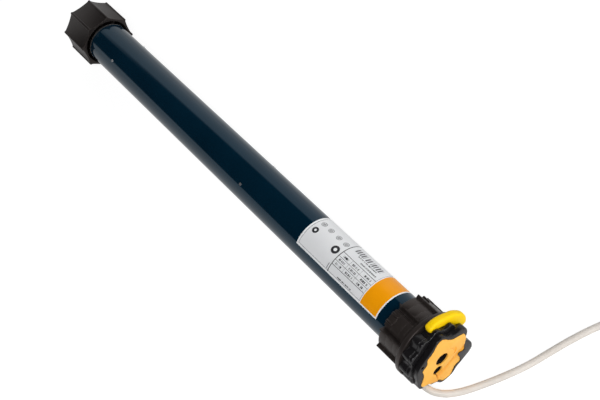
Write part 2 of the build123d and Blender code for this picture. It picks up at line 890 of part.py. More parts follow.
def make_cores(route):
    """Four stripped conductors that spread a little at the bare end."""
    end, direction = route @ 1, route % 1
    side = direction.cross(Vector(0, 0, 1))
    cores = []
    for k in range(4):
        spread = (k - 1.5) * 1.35
        first = end + side * spread
        last = end + direction * core_length + side * spread * 2.6
        middle = end + direction * core_length / 2 + side * spread * (1.5 if k % 2 else 1.3)
        arc = Edge.make_three_point_arc(first, middle, last)
        cores.append(tube_along(Wire([arc]), core_radius).solid())
    return Compound(children=cores)


def main():
    save(make_tube(), "tube")
    save(make_head(), "head_body")
    save(make_face_plate(), "face_plate")
    save(make_gland(), "cord_gland")
    save(make_cap(), "limit_cap")
    for name, y in (("up", button_up_y), ("down", button_down_y)):
        save(make_button(y), "limit_button_" + name)
        save(make_button_spring(y), "button_spring_" + name)
    save(make_crown(), "crown")
    save(make_limit_pinion(), "limit_pinion")
    save(wheel_and_small(-76.2, -79.2, -83, axle_centre, counter_angle), "counter_wheel_1")
    save(wheel_and_small(-80, -82.8, -94, counter_axis, towards_axle), "counter_wheel_2")
    save(make_cam(-84.2, 60), "limit_cam_up")
    save(make_cam(-89.4, 150), "limit_cam_down")
    save(disc(axle_radius, chassis_back, chassis_front, centre=axle_centre), "limit_axle")
    save(make_chassis(), "limit_chassis")
    save(make_switch_pair(), "microswitches")
    save(make_terminal_board(), "terminal_board")
    save(make_capacitor(), "capacitor")
    save(make_collars(), "capacitor_collars")
    save(make_shield(-190, -184, -192, -182), "front_shield")
    save(make_shield(rear_shield_back, rear_shield_front, rear_boss_back, rear_boss_back + 10), "rear_shield")
    save(make_bushes(), "rotor_bushes")
    save(without(make_stator(), rivets(rivet_stations[0])), "stator_core")
    save(make_windings(), "stator_windings")
    save(make_rotor_core(), "rotor_core")
    save(make_rotor_shaft(), "rotor_shaft")
    save(make_brake_spring(), "brake_spring")
    save(make_armature(), "brake_armature")
    save(make_brake_disc(), "brake_disc")
    save(make_lining(), "brake_lining")
    save(make_gearbox_plate(), "gearbox_plate")
    save(make_ring_gear(), "ring_gear")
    save(make_sun_one(), "sun_gear_1")
    for stage in range(3):
        save(make_carrier(stage), f"carrier_{stage + 1}")
        save(make_planet_pins(stage), f"planet_pins_{stage + 1}")
        for k, angle in enumerate(planet_angles):
            save(make_planet(stage, angle), f"planet_{stage + 1}_{k + 1}")
    save(make_output_shaft(), "output_shaft")
    save(without(make_output_flange(), rivets(rivet_stations[1])), "output_flange")
    save(make_output_bushes(), "output_bushes")
    save(make_drive_wheel(), "drive_wheel")
    save(make_circlip(), "wheel_circlip")
    save(Compound(children=[pin.solid() for pin in all_rivets()]), "tube_rivets")
    save(make_label(), "rating_label")
    lead, coil = make_cord()
    for name, route in (("cord_lead", lead), ("cord_coil", coil)):
        solid = save(tube_along(route), name)
        report_tube(name, solid, route)
    save(make_cores(coil), "cord_cores")


main()
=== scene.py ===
# %% [markdown]
# Tubular roller blind motor
#
# This script dresses the motor's frame: it gives the pieces hidden inside the tube real finishes,
# and models again the springs and most of what shows. Lengths are written in millimetres and
# turned into metres by one small helper, because parts of this size are measured in millimetres.

# %% Load the frame
import json
import math

import bmesh
import bpy
from mathutils import Matrix, Vector


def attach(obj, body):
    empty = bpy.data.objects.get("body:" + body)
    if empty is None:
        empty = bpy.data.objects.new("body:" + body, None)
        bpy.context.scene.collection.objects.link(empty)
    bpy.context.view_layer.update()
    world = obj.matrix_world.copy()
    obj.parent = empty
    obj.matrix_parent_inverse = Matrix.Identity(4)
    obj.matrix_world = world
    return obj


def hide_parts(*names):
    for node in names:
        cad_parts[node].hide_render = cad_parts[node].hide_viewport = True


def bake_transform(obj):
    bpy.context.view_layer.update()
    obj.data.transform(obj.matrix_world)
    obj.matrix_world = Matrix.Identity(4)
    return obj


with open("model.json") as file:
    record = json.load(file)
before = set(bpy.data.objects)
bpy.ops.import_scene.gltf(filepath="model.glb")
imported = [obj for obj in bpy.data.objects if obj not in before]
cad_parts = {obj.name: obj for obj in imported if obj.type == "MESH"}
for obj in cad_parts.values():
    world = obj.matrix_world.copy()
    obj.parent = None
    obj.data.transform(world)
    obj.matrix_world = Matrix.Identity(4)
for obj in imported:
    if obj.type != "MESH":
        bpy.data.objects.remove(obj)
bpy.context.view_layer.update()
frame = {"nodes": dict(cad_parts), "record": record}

# %% [markdown]
# Small helpers for places. The motor lies along X, with its head at X = 0, and a place around the
# axis is a radius and an angle counted from +Y towards +Z.

# %% Millimetres and places around the axis
def mm(length):
    """Millimetres to metres."""
    return length / 1000


def around(radius, angle):
    """Point in the Y-Z plane, in millimetres."""
    return radius * math.cos(math.radians(angle)), radius * math.sin(math.radians(angle))


tube_radius = 22.5
print("tube diameter:", 2 * tube_radius, "mm")

# %% [markdown]
# Four small steps come back all the time: to put something new into the scene, to let a piece ride
# on a body of the motor, to close a mesh builder, and to join meshes into one. Each is a helper, so
# that a piece's own function says only what is special about the piece.

# %% Pieces and meshes
def placed(name, data):
    """New object in the scene."""
    thing = bpy.data.objects.new(name, data)
    bpy.context.scene.collection.objects.link(thing)
    return thing


def new_piece(name, mesh, body, smooth_angle=35):
    """Piece that rides on a body, smooth but for its sharp edges."""
    piece = placed(name, mesh)
    mesh.shade_smooth()
    mesh.set_sharp_from_angle(angle=math.radians(smooth_angle))
    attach(piece, body)
    return piece


def finished(name, builder):
    """Mesh of all that the builder holds."""
    mesh = bpy.data.meshes.new(name)
    builder.to_mesh(mesh)
    builder.free()
    return mesh


weld_distance = 0.001


def joined(name, meshes):
    """One mesh from several, which are used up."""
    builder = bmesh.new()
    for mesh in meshes:
        builder.from_mesh(mesh)
        bpy.data.meshes.remove(mesh)
    bmesh.ops.remove_doubles(builder, verts=builder.verts, dist=mm(weld_distance))
    return finished(name, builder)


print("points closer than", weld_distance, "mm become one")

# %% [markdown]
# A moulded part is mostly an outline stretched along the axis, with every edge slightly rounded.
# A filled 2D curve does this well: it takes holes, extrudes them, and its bevel rounds the outer
# edge and the edges of the holes at once. The curve is then turned into a mesh. The bevel grows
# the outline, so the offset takes the same amount away and the real size is kept.

# %% Rounded slab from outlines
rounding_steps = 2


def slab_mesh(name, outlines, x_back, x_front, rounding):
    """Mesh of closed Y-Z outlines, the first one outside and the others holes."""
    curve = bpy.data.curves.new(name, "CURVE")
    curve.dimensions = "2D"
    curve.fill_mode = "BOTH"
    for outline in outlines:
        spline = curve.splines.new("POLY")
        spline.points.add(len(outline) - 1)
        for point, (y, z) in zip(spline.points, outline):
            point.co = (mm(y), mm(z), 0, 1)
        spline.use_cyclic_u = True
    curve.bevel_depth = mm(rounding)
    curve.bevel_resolution = rounding_steps
    curve.offset = -mm(rounding)
    curve.extrude = mm((x_front - x_back) / 2 - rounding)
    holder = bpy.data.objects.new(name, curve)
    mesh = bpy.data.meshes.new_from_object(holder)
    mesh.name = name
    bpy.data.objects.remove(holder)
    bpy.data.curves.remove(curve)
    middle = mm((x_back + x_front) / 2)
    mesh.transform(Matrix(((0, 0, 1, middle), (1, 0, 0, 0), (0, 1, 0, 0), (0, 0, 0, 1))))
    return joined(name, [mesh])


print("a rounded edge has", rounding_steps + 1, "faces across")

# %% [markdown]
# Holes that run across a slab are cut with a Boolean modifier, whose result is kept as a plain
# mesh. The exact solver leaves clean edges, and the modifier's tools are deleted at once.

# %% Holes and slots that cross the slab
hole_sides = 48


def cut(mesh, cutters):
    """The mesh without the space of the cutters, which are used up."""
    piece = placed(mesh.name, mesh)
    tools = [placed(cutter.name, cutter) for cutter in cutters]
    for tool in tools:
        modifier = piece.modifiers.new("cut", "BOOLEAN")
        modifier.operation = "DIFFERENCE"
        modifier.solver = "EXACT"
        modifier.object = tool
    graph = bpy.context.evaluated_depsgraph_get()
    result = bpy.data.meshes.new_from_object(piece.evaluated_get(graph))
    result.name = mesh.name
    for holder in [piece] + tools:
        used = holder.data
        bpy.data.objects.remove(holder)
        bpy.data.meshes.remove(used)
    return result


def upright_hole(radius, x, y, z_low, z_high):
    """Round cutter that stands along Z."""
    builder = bmesh.new()
    bmesh.ops.create_cone(builder, cap_ends=True, segments=hole_sides, radius1=mm(radius),
                          radius2=mm(radius), depth=mm(z_high - z_low))
    bmesh.ops.translate(builder, verts=builder.verts, vec=(mm(x), mm(y), mm((z_low + z_high) / 2)))
    return finished("upright_hole", builder)


print("an upright hole has", hole_sides, "sides")

# %% [markdown]
# Most outlines are drawn by the same three helpers: a circle, a smooth closed line through a few
# points, and the same line with its points given as an angle and a radius.

# %% Outlines that repeat
def circle(radius, centre=(0, 0), points=96):
    line = []
    for k in range(points):
        y, z = around(radius, 360 * k / points)
        line.append((centre[0] + y, centre[1] + z))
    return line


def smooth_between(a, b, c, d, t):
    """Point at t between b and c on a smooth curve through all four."""
    return 0.5 * (2 * b + (c - a) * t + (2 * a - 5 * b + 4 * c - d) * t * t
                  + (3 * b - a - 3 * c + d) * t * t * t)


def smooth_loop(points, steps=6):
    """Closed smooth line through a few Y-Z points."""
    line = []
    count = len(points)
    for k in range(count):
        four = [Vector(points[(k + i) % count]) for i in (-1, 0, 1, 2)]
        line += [smooth_between(*four, i / steps) for i in range(steps)]
    return [(place.x, place.y) for place in line]


def smooth_polar(polar_points):
    """The same line through points given as an angle and a radius."""
    return smooth_loop([around(radius, angle) for angle, radius in polar_points])


test_loop = smooth_polar(((0, 1), (90, 1), (180, 1), (270, 1)))
print("a smooth test loop has", len(test_loop), "points")

# %% [markdown]
# Turned parts, such as the tube, are a profile spun round the axis. Many narrow faces keep the
# long highlights on the paint straight and clean.

# %% Turned parts
full_turn = 360


def skin_mesh(name, builder, rings, closed=False):
    """Mesh of the faces between rings of points. An open skin gets a face at each end."""
    pairs = list(zip(rings, rings[1:])) + ([(rings[-1], rings[0])] if closed else [])
    for here, there in pairs:
        for k in range(len(here)):
            j = (k + 1) % len(here)
            builder.faces.new((here[k], here[j], there[j], there[k]))
    if not closed:
        builder.faces.new(rings[0][::-1])
        builder.faces.new(rings[-1])
    bmesh.ops.recalc_face_normals(builder, faces=builder.faces)
    return finished(name, builder)


def turned(name, profile, sides, first=0, last=full_turn):
    """Spin a profile of (x, radius) points round X. A full turn closes on itself."""
    builder = bmesh.new()
    closed = last - first >= full_turn
    rows = []
    for side in range(sides if closed else sides + 1):
        angle = first + (last - first) * side / sides
        row = []
        for x, radius in profile:
            y, z = around(radius, angle)
            row.append(builder.verts.new((mm(x), mm(y), mm(z))))
        rows.append(row)
    return skin_mesh(name, builder, rows, closed)


test_ring = turned("test_ring", ((0, 1), (1, 1), (1, 2)), 12)
print("a turned test ring has", len(test_ring.polygons), "faces")
bpy.data.meshes.remove(test_ring)

# %% [markdown]
# Finishes. Two effects come back in many materials, so each is a node group: the fine grain that a
# mould or a paint gun leaves, and the straight marks of turned or ground metal. A group puts out a
# mask and a normal only, and the shader stays in the material.

# %% Shared effect: fine grain
def add_socket(group, name, direction, kind, value=None):
    socket = group.interface.new_socket(name, in_out=direction, socket_type=kind)
    if value is not None:
        socket.default_value = value


def build_grain_group():
    """Small bumps and slow patches, in the piece's own coordinates."""
    group = bpy.data.node_groups.new("fine_grain", "ShaderNodeTree")
    add_socket(group, "Grain Scale", "INPUT", "NodeSocketFloat", 900.0)
    add_socket(group, "Patch Scale", "INPUT", "NodeSocketFloat", 60.0)
    add_socket(group, "Bump Strength", "INPUT", "NodeSocketFloat", 0.1)
    add_socket(group, "Patches", "OUTPUT", "NodeSocketFloat")
    add_socket(group, "Normal", "OUTPUT", "NodeSocketVector")
    nodes, links = group.nodes, group.links
    inputs = nodes.new("NodeGroupInput")
    outputs = nodes.new("NodeGroupOutput")
    place = nodes.new("ShaderNodeTexCoord")
    grain = nodes.new("ShaderNodeTexNoise")
    grain.inputs["Detail"].default_value = 3
    patches = nodes.new("ShaderNodeTexNoise")
    patches.inputs["Detail"].default_value = 4
    bump = nodes.new("ShaderNodeBump")
    bump.inputs["Distance"].default_value = mm(0.1)
    links.new(place.outputs["Object"], grain.inputs["Vector"])
    links.new(place.outputs["Object"], patches.inputs["Vector"])
    links.new(inputs.outputs["Grain Scale"], grain.inputs["Scale"])
    links.new(inputs.outputs["Patch Scale"], patches.inputs["Scale"])
    links.new(inputs.outputs["Bump Strength"], bump.inputs["Strength"])
    links.new(grain.outputs["Fac"], bump.inputs["Height"])
    links.new(patches.outputs["Fac"], outputs.inputs["Patches"])
    links.new(bump.outputs["Normal"], outputs.inputs["Normal"])
    return group


grain_group = build_grain_group()
print("shared effect:", grain_group.name)

# %% [markdown]
# Turned and ground metal shows fine lines round its axis. A noise that is stretched across the axis
# makes them, and every metal of the motor shares the group.

# %% Shared effect: turning marks
def build_turning_group():
    """Fine lines round the axis, as a lathe or a grinder leaves them."""
    group = bpy.data.node_groups.new("turning_marks", "ShaderNodeTree")
    add_socket(group, "Line Scale", "INPUT", "NodeSocketFloat", 1500.0)
    add_socket(group, "Bump Strength", "INPUT", "NodeSocketFloat", 0.15)
    add_socket(group, "Lines", "OUTPUT", "NodeSocketFloat")
    add_socket(group, "Normal", "OUTPUT", "NodeSocketVector")
    nodes, links = group.nodes, group.links
    inputs = nodes.new("NodeGroupInput")
    outputs = nodes.new("NodeGroupOutput")
    place = nodes.new("ShaderNodeTexCoord")
    stretch = nodes.new("ShaderNodeMapping")
    stretch.inputs["Scale"].default_value = (1, 0.02, 0.02)
    lines = nodes.new("ShaderNodeTexNoise")
    lines.inputs["Detail"].default_value = 2
    bump = nodes.new("ShaderNodeBump")
    bump.inputs["Distance"].default_value = mm(0.05)
    links.new(place.outputs["Object"], stretch.inputs["Vector"])
    links.new(stretch.outputs["Vector"], lines.inputs["Vector"])
    links.new(inputs.outputs["Line Scale"], lines.inputs["Scale"])
    links.new(inputs.outputs["Bump Strength"], bump.inputs["Strength"])
    links.new(lines.outputs["Fac"], bump.inputs["Height"])
    links.new(lines.outputs["Fac"], outputs.inputs["Lines"])
    links.new(bump.outputs["Normal"], outputs.inputs["Normal"])
    return group


turning_group = build_turning_group()
print("shared effect:", turning_group.name)

# %% [markdown]
# A material here is one Principled BSDF with constant settings on its own sockets, and a base
# colour that a ramp spreads a little, driven by the mask of one of the two groups.

# %% Material helpers
def start_material(name, roughness, metallic=0.0, **settings):
    """New material, its nodes and links, and its shader with constant settings."""
    material = bpy.data.materials.new(name)
    material.use_nodes = True
    shader = material.node_tree.nodes["Principled BSDF"]
    shader.inputs["Roughness"].default_value = roughness
    shader.inputs["Metallic"].default_value = metallic
    for socket, value in settings.items():
        shader.inputs[socket.replace("_", " ")].default_value = value
    return material, material.node_tree.nodes, material.node_tree.links, shader


def add_group(nodes, group, **values):
    """Place a shared effect with its own values."""
    node = nodes.new("ShaderNodeGroup")
    node.node_tree = group
    for socket, value in values.items():
        node.inputs[socket.replace("_", " ")].default_value = value
    return node


def ramp(nodes, *stops):
    """Colour ramp from pairs of a place and a colour."""
    node = nodes.new("ShaderNodeValToRGB")
    steps = node.color_ramp.elements
    for step, (place, colour) in zip(steps, stops):
        step.position = place
        step.color = (*colour, 1)
    return node


def math_node(nodes, links, operation, first, second=0.0):
    """Sum, product or test of two numbers or sockets."""
    node = nodes.new("ShaderNodeMath")
    node.operation = operation
    for socket, value in zip(node.inputs, (first, second)):
        if isinstance(value, (int, float)):
            socket.default_value = value
        else:
            links.new(value, socket)
    return node.outputs[0]


def lay_colour(nodes, links, mask, below, colour):
    """A plain colour over what lies below, where the mask is 1."""
    mix = nodes.new("ShaderNodeMix")
    mix.data_type = "RGBA"
    mix.inputs["B"].default_value = (*colour, 1)
    links.new(mask, mix.inputs["Factor"])
    links.new(below, mix.inputs["A"])
    return mix.outputs["Result"]


print("a material starts with", len(start_material("test", 0.5)[1]), "nodes")
bpy.data.materials.remove(bpy.data.materials["test"])

# %% [markdown]
# Most pieces are one of two kinds. A moulding has a fine grain and slight patches in colour and
# gloss, and bare metal has turning marks. One function makes each kind, because the plastics, and
# the metals, differ only in their colours and their gloss.

# %% Mouldings and bare metal
moulding_grain, moulding_patches = 1400.0, 45.0
glossier, duller = 0.06, 0.08
metal_lines = 2600.0


def moulded(name, dark, light, roughness, grain=0.12, **settings):
    """Moulded plastic: fine grain, slight patches in colour and gloss."""
    material, nodes, links, shader = start_material(name, roughness, **settings)
    effect = add_group(nodes, grain_group, Grain_Scale=moulding_grain, Patch_Scale=moulding_patches,
                       Bump_Strength=grain)
    colour = ramp(nodes, (0.3, dark), (0.7, light))
    gloss = nodes.new("ShaderNodeMapRange")
    gloss.inputs["To Min"].default_value = roughness - glossier
    gloss.inputs["To Max"].default_value = roughness + duller
    links.new(effect.outputs["Patches"], colour.inputs["Fac"])
    links.new(effect.outputs["Patches"], gloss.inputs["Value"])
    links.new(gloss.outputs["Result"], shader.inputs["Roughness"])
    links.new(colour.outputs["Color"], shader.inputs["Base Color"])
    links.new(effect.outputs["Normal"], shader.inputs["Normal"])
    return material


def machined(name, dark, light, roughness, marks=0.2):
    """Bare metal with turning marks."""
    material, nodes, links, shader = start_material(name, roughness, metallic=1.0)
    effect = add_group(nodes, turning_group, Line_Scale=metal_lines, Bump_Strength=marks)
    colour = ramp(nodes, (0.35, dark), (0.65, light))
    links.new(effect.outputs["Lines"], colour.inputs["Fac"])
    links.new(colour.outputs["Color"], shader.inputs["Base Color"])
    links.new(effect.outputs["Normal"], shader.inputs["Normal"])
    return material


print("grain of a moulding:", moulding_grain, "and lines of a metal:", metal_lines)

# %% [markdown]
# The finishes of the motor: black glass-filled nylon outside, clear colours for what the fitter
# touches, pale acetal for the counter, and steel, die-cast metal, bronze and copper inside. The
# crown and the wheel mirror the room with a slightly warm tint, which keeps their black from
# looking blue. The crown's black is painted lighter than the wheel's, as painted light for the
# stronger light near the head.

# %% Moulded plastics and metals
warm_gloss = (1.0, 0.88, 0.84, 1)
black_nylon = moulded("black_nylon", (0.008, 0.0062, 0.0058), (0.012, 0.0094, 0.0088), 0.4,
                      Specular_IOR_Level=0.4, Specular_Tint=warm_gloss)
# Painted light: the crown's black is lighter than the wheel's, for the stronger light near the
# head.
crown_nylon_painted_light = moulded("crown_nylon_painted_light", (0.016, 0.013, 0.012), (0.023, 0.0185, 0.017), 0.33,
                      Specular_Tint=warm_gloss)
head_nylon = moulded("glossy_black_nylon", (0.0075, 0.007, 0.0078), (0.012, 0.011, 0.012), 0.24,
                     grain=0.06, Specular_IOR_Level=0.38)
cap_yellow = moulded("bright_yellow_plastic", (1.0, 0.62, 0.0), (1.0, 0.68, 0.0), 0.5, 0.04,
                     Specular_IOR_Level=0.2)
cord_white = moulded("warm_white_pvc", (0.68, 0.63, 0.575), (0.76, 0.71, 0.655), 0.42, 0.08)
finishes = {
    "button_plastic": moulded("white_button", (0.78, 0.78, 0.74), (0.86, 0.86, 0.82), 0.35),
    "black_plastic": black_nylon,
    "counter_plastic": moulded("natural_acetal", (0.74, 0.72, 0.64), (0.82, 0.8, 0.72), 0.4),
    "switch_black": moulded("switch_case", (0.02, 0.02, 0.022), (0.035, 0.035, 0.04), 0.5),
    "capacitor_case": moulded("capacitor_can", (0.66, 0.66, 0.64), (0.76, 0.76, 0.73), 0.4),
    "board_green": moulded("board_laminate", (0.03, 0.16, 0.07), (0.06, 0.24, 0.11), 0.45),
    "brake_lining": moulded("friction_lining", (0.1, 0.08, 0.06), (0.2, 0.16, 0.12), 0.85, 0.5),
    "foam_grey": moulded("rubber_collar", (0.05, 0.05, 0.052), (0.09, 0.09, 0.095), 0.7, 0.3),
    "bright_steel": machined("turned_steel", (0.45, 0.45, 0.46), (0.62, 0.62, 0.63), 0.28),
    "spring_steel": machined("spring_wire", (0.3, 0.3, 0.31), (0.46, 0.46, 0.47), 0.32),
    "gear_steel": machined("sintered_steel", (0.26, 0.26, 0.27), (0.4, 0.4, 0.41), 0.45),
    "zamak": machined("die_cast_metal", (0.42, 0.43, 0.44), (0.56, 0.57, 0.58), 0.42),
    "sintered_bronze": machined("oiled_bronze", (0.4, 0.25, 0.1), (0.56, 0.38, 0.18), 0.4),
    "lamination": machined("sheet_stack", (0.12, 0.12, 0.13), (0.26, 0.26, 0.28), 0.5, 0.6),
    "winding_copper": machined("varnished_copper", (0.4, 0.14, 0.05), (0.62, 0.26, 0.1), 0.35, 0.6),
}
print("finishes:", ", ".join(sorted(finishes)))

# %% [markdown]
# The tube's paint is a dark, glossy petrol blue. The long pale bands in the photograph are the
# white ground mirrored near both edges of the tube, so no band is painted: the gloss makes them,
# and a tint on the reflection gives them their cool blue. A slight orange peel keeps them from
# looking like glass.

# %% Petrol blue paint
blue_gloss = (0.5, 0.79, 1.0, 1)


def petrol_paint():
    material, nodes, links, shader = start_material("petrol_paint", 0.08, Specular_Tint=blue_gloss)
    effect = add_group(nodes, grain_group, Grain_Scale=380.0, Patch_Scale=25.0, Bump_Strength=0.03)
    colour = ramp(nodes, (0.3, (0.0002, 0.0125, 0.027)), (0.7, (0.0004, 0.0155, 0.033)))
    links.new(effect.outputs["Patches"], colour.inputs["Fac"])
    links.new(colour.outputs["Color"], shader.inputs["Base Color"])
    links.new(effect.outputs["Normal"], shader.inputs["Normal"])
    return material


finishes["petrol_paint"] = petrol_paint()
print("paint:", finishes["petrol_paint"].name)

# %% [markdown]
# Every node of the frame that stays gets the finish of its own material slot. Those that are
# modelled again below are hidden later, so it does no harm to dress them all here.

# %% Dress the pieces inside the tube
slot_of = {part["node"]: part["material_slot"] for part in frame["record"]["subparts"]}


def dress(piece, material):
    piece.data.materials.clear()
    piece.data.materials.append(material)


for node, piece in frame["nodes"].items():
    material = finishes.get(slot_of[node], black_nylon)
    if not piece.material_slots:
        piece.data.materials.append(material)
    for place in piece.material_slots:
        place.link = "OBJECT"
        place.material = material
print("dressed", len(frame["nodes"]), "pieces of the frame")

# %% [markdown]
# The camera is set first, because the route of the cord below was chosen in its view. It stands at
# the place that was solved from the picture, and it is rolled a little, because the motor lies
# with a facet of its wheel on the floor.

# %% Camera
camera_place = Vector((mm(396.9), mm(-212.1), mm(834.3)))
camera_forward = Vector((-0.5771, 0.2161, -0.7876)).normalized()
camera_up = Vector((-0.5559, 0.6026, 0.5726))
focal_pixels = 1150
picture_width = 600
sensor_width = 36


def place_camera():
    data = bpy.data.cameras.new("photo_camera")
    data.sensor_width = sensor_width
    data.lens = focal_pixels * sensor_width / picture_width
    camera = placed("photo_camera", data)
    right = camera_forward.cross(camera_up).normalized()
    up = right.cross(camera_forward)
    turn = Matrix((right, up, -camera_forward)).transposed()
    camera.matrix_world = Matrix.Translation(camera_place) @ turn.to_4x4()
    bpy.context.scene.camera = camera
    return camera


camera = place_camera()
print("lens:", round(camera.data.lens, 1), "mm")

# %% [markdown]
# The cord. A supply cord of this kind is a 6.2 mm white cable, 2.4 m long. It leaves the head
# beside the face plate, drops to the floor in one easy bend and runs off to the right. What the
# picture doesn't show is put away in a flat coil. One smooth curve carries the whole length.

# %% Route of the cord
cord_radius = 3.1
floor_z = -34.4
lead_route = (
    (-9.8, -21.5, -22.5), (-1.8, -21.5, -22.5), (6.4, -18.8, -24.0), (13.1, -12.2, -26.6),
    (18.3, -2.6, -29.4), (22.9, 9.0, -31.3), (28.6, 23.3, -31.3), (34.4, 39.4, -31.3),
    (39.3, 56.1, -31.3), (42.8, 75.6, -31.3), (46.8, 96.1, -31.3), (52.6, 117.8, -31.3),
    (60.2, 138.6, -31.3),
)
coil_turns = 9.5
coil_pitch = 6.8
coil_middle_radius = 37.0
coil_centre = (126.0, 162.0)
coil_start_angle = 160.0
points_per_turn = 16
climb_turns, layer_gap = 0.5, 0.6


def coil_place(turn):
    """Place on the coil: it winds in, climbs one layer, and winds out again on top."""
    half = coil_turns / 2
    outer = coil_middle_radius + coil_pitch * half / 2
    radius = outer - coil_pitch * (half - abs(turn - half))
    climb = min(1.0, max(0.0, (turn - half) / climb_turns + 0.5))
    height = (2 * cord_radius + layer_gap) * climb * climb * (3 - 2 * climb)
    y, z = around(radius, coil_start_angle - 360 * turn)
    return coil_centre[0] + y, coil_centre[1] + z, floor_z + cord_radius + height


coil_steps = int(coil_turns * points_per_turn)
coil_route = tuple(coil_place(k / points_per_turn) for k in range(coil_steps + 1))
print("coil:", len(coil_route), "points")

# %% [markdown]
# A real cable is round and bends without a corner. A NURBS curve with a round bevel gives both: its
# points pull it along like a hand, and each point carries the cord's radius. The way from the lead
# to the coil ends in line with the coil's first turn, so the cord doesn't kink there.

# %% Cord
approach_length = 22.0


def smooth_curve(name, route, radius):
    """Round cord along a smooth curve with the route as its control points."""
    curve = bpy.data.curves.new(name, "CURVE")
    curve.dimensions = "3D"
    curve.bevel_depth = 1.0
    curve.bevel_resolution = 6
    curve.resolution_u = 6
    curve.use_fill_caps = True
    spline = curve.splines.new("NURBS")
    spline.points.add(len(route) - 1)
    for point, (x, y, z) in zip(spline.points, route):
        point.co = (mm(x), mm(y), mm(z), 1)
        point.radius = mm(radius)
    spline.order_u = 3
    spline.use_endpoint_u = True
    piece = placed(name, curve)
    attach(piece, "housing")
    return piece


coil_start = Vector(coil_place(0))
start_direction = (Vector(coil_place(0.01)) - coil_start).normalized()
approach = coil_start - start_direction * approach_length
cord = smooth_curve("supply_cord", lead_route + (tuple(approach),) + coil_route, cord_radius)
dress(cord, cord_white)
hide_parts("cord_lead", "cord_coil")
print("cord:", len(cord.data.splines[0].points), "points")

# %% [markdown]
# The bare end shows four insulated conductors, each with a few millimetres of copper. They are
# short curves that spread a little, as stripped cores do.

# %% Bare end of the cord
core_colours = (
    ("core_brown", (0.12, 0.04, 0.015)), ("core_black", (0.015, 0.015, 0.015)),
    ("core_blue", (0.01, 0.08, 0.35)), ("core_green_yellow", (0.35, 0.55, 0.02)),
)
core_length, strip_length = 38.0, 6.0
core_radius, wire_radius = 0.6, 0.4
core_spacing, core_flare = 1.35, 1.5
sleeve_steps = (-0.02, 0.35, 0.7, 1 - strip_length / core_length)


def make_cores():
    end = Vector(coil_place(coil_turns))
    direction = (end - Vector(coil_place(coil_turns - 0.02))).normalized()
    side = direction.cross(Vector((0, 0, 1)))
    cores = []
    for k, (name, colour) in enumerate(core_colours):
        spread = (k - 1.5) * core_spacing
        places = [end + side * spread * (1 + core_flare * t * t) + direction * core_length * t
                  for t in sleeve_steps]
        core = smooth_curve(name, [tuple(p) for p in places], core_radius)
        lighter = tuple(min(1, c * 1.3) for c in colour)
        dress(core, moulded(name + "_sleeve", colour, lighter, 0.4))
        tip = end + side * spread * (1 + core_flare) + direction * (core_length - wire_radius)
        wire_route = [tuple(places[-1]), tuple((places[-1] + tip) / 2), tuple(tip)]
        wire = smooth_curve(name + "_wire", wire_route, wire_radius)
        dress(wire, finishes["winding_copper"])
        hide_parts("cord_cores")
        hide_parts("cord_cores")
        cores += [core, wire]
    return cores


cores = make_cores()
print("cores:", len(cores))

# %% [markdown]
# The tube is a rolled steel tube with a thin wall. It is spun from its section, so that the paint
# has a perfectly round surface to mirror the room in. The outer edges of its ends are chamfered.

# %% Tube
tube_front, tube_back = -44.0, -537.0
tube_bore = 21.3
tube_edge = 0.3
tube_profile = (
    (tube_front, tube_radius - tube_edge), (tube_front - tube_edge, tube_radius),
    (tube_back + tube_edge, tube_radius), (tube_back, tube_radius - tube_edge),
    (tube_back, tube_bore), (tube_front, tube_bore),
)
tube = new_piece("tube_shell", turned("tube_shell", tube_profile, sides=192), "housing")
dress(tube, finishes["petrol_paint"])
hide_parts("tube")
print("tube:", len(tube.data.polygons), "faces")

# %% [markdown]
# The rating label is a silver foil with a printed orange band at the head's end. Its print is
# generic: a border, bars in place of words, a grid, a bar pattern and a few plain rings. All of it
# comes from two coordinates, the distance along the axis and the angle around it, so it lies on
# the foil like ink. A small kit of mask helpers keeps it readable.

# %% Label print: masks from coordinates
label_front, label_back = -60.0, -170.0
label_first, label_last = 20.0, 142.5
foil_radius = 22.58
label_length = label_front - label_back
label_width = math.radians(label_last - label_first) * foil_radius


class Masks:
    """Builds masks over the label from its length and its width, both in millimetres."""

    def __init__(self, nodes, links):
        self.nodes, self.links = nodes, links
        place = nodes.new("ShaderNodeTexCoord")
        split = nodes.new("ShaderNodeSeparateXYZ")
        links.new(place.outputs["Object"], split.inputs[0])
        self.along = self.math("MULTIPLY", split.outputs["X"], -1000.0)
        self.along = self.math("ADD", self.along, label_front)
        turn = self.math("ARCTAN2", split.outputs["Z"], split.outputs["Y"])
        turn = self.math("SUBTRACT", math.radians(label_last), turn)
        self.across = self.math("MULTIPLY", turn, foil_radius)

    def math(self, operation, first, second=0.0):
        return math_node(self.nodes, self.links, operation, first, second)

    def between(self, value, low, high):
        above = self.math("GREATER_THAN", value, low)
        return self.math("MULTIPLY", above, self.math("LESS_THAN", value, high))

    def box(self, along_low, along_high, across_low, across_high):
        return self.math("MULTIPLY", self.between(self.along, along_low, along_high),
                         self.between(self.across, across_low, across_high))

    def distance(self, along, across):
        a = self.math("POWER", self.math("SUBTRACT", self.along, along), 2.0)
        b = self.math("POWER", self.math("SUBTRACT", self.across, across), 2.0)
        return self.math("SQRT", self.math("ADD", a, b))

    def disc(self, along, across, radius):
        return self.math("LESS_THAN", self.distance(along, across), radius)

    def ring(self, along, across, radius, width):
        return self.between(self.distance(along, across), radius - width, radius)

    def stripes(self, value, period, share, shift=0.0):
        """Repeating bars: on for a share of each period."""
        wave = self.math("FRACT", self.math("DIVIDE", self.math("ADD", value, shift), period))
        return self.math("LESS_THAN", wave, share)

    def either(self, *masks):
        whole = masks[0]
        for mask in masks[1:]:
            whole = self.math("MAXIMUM", whole, mask)
        return whole

    def both(self, *masks):
        whole = masks[0]
        for mask in masks[1:]:
            whole = self.math("MULTIPLY", whole, mask)
        return whole


print("label:", label_length, "by", round(label_width, 1), "mm")

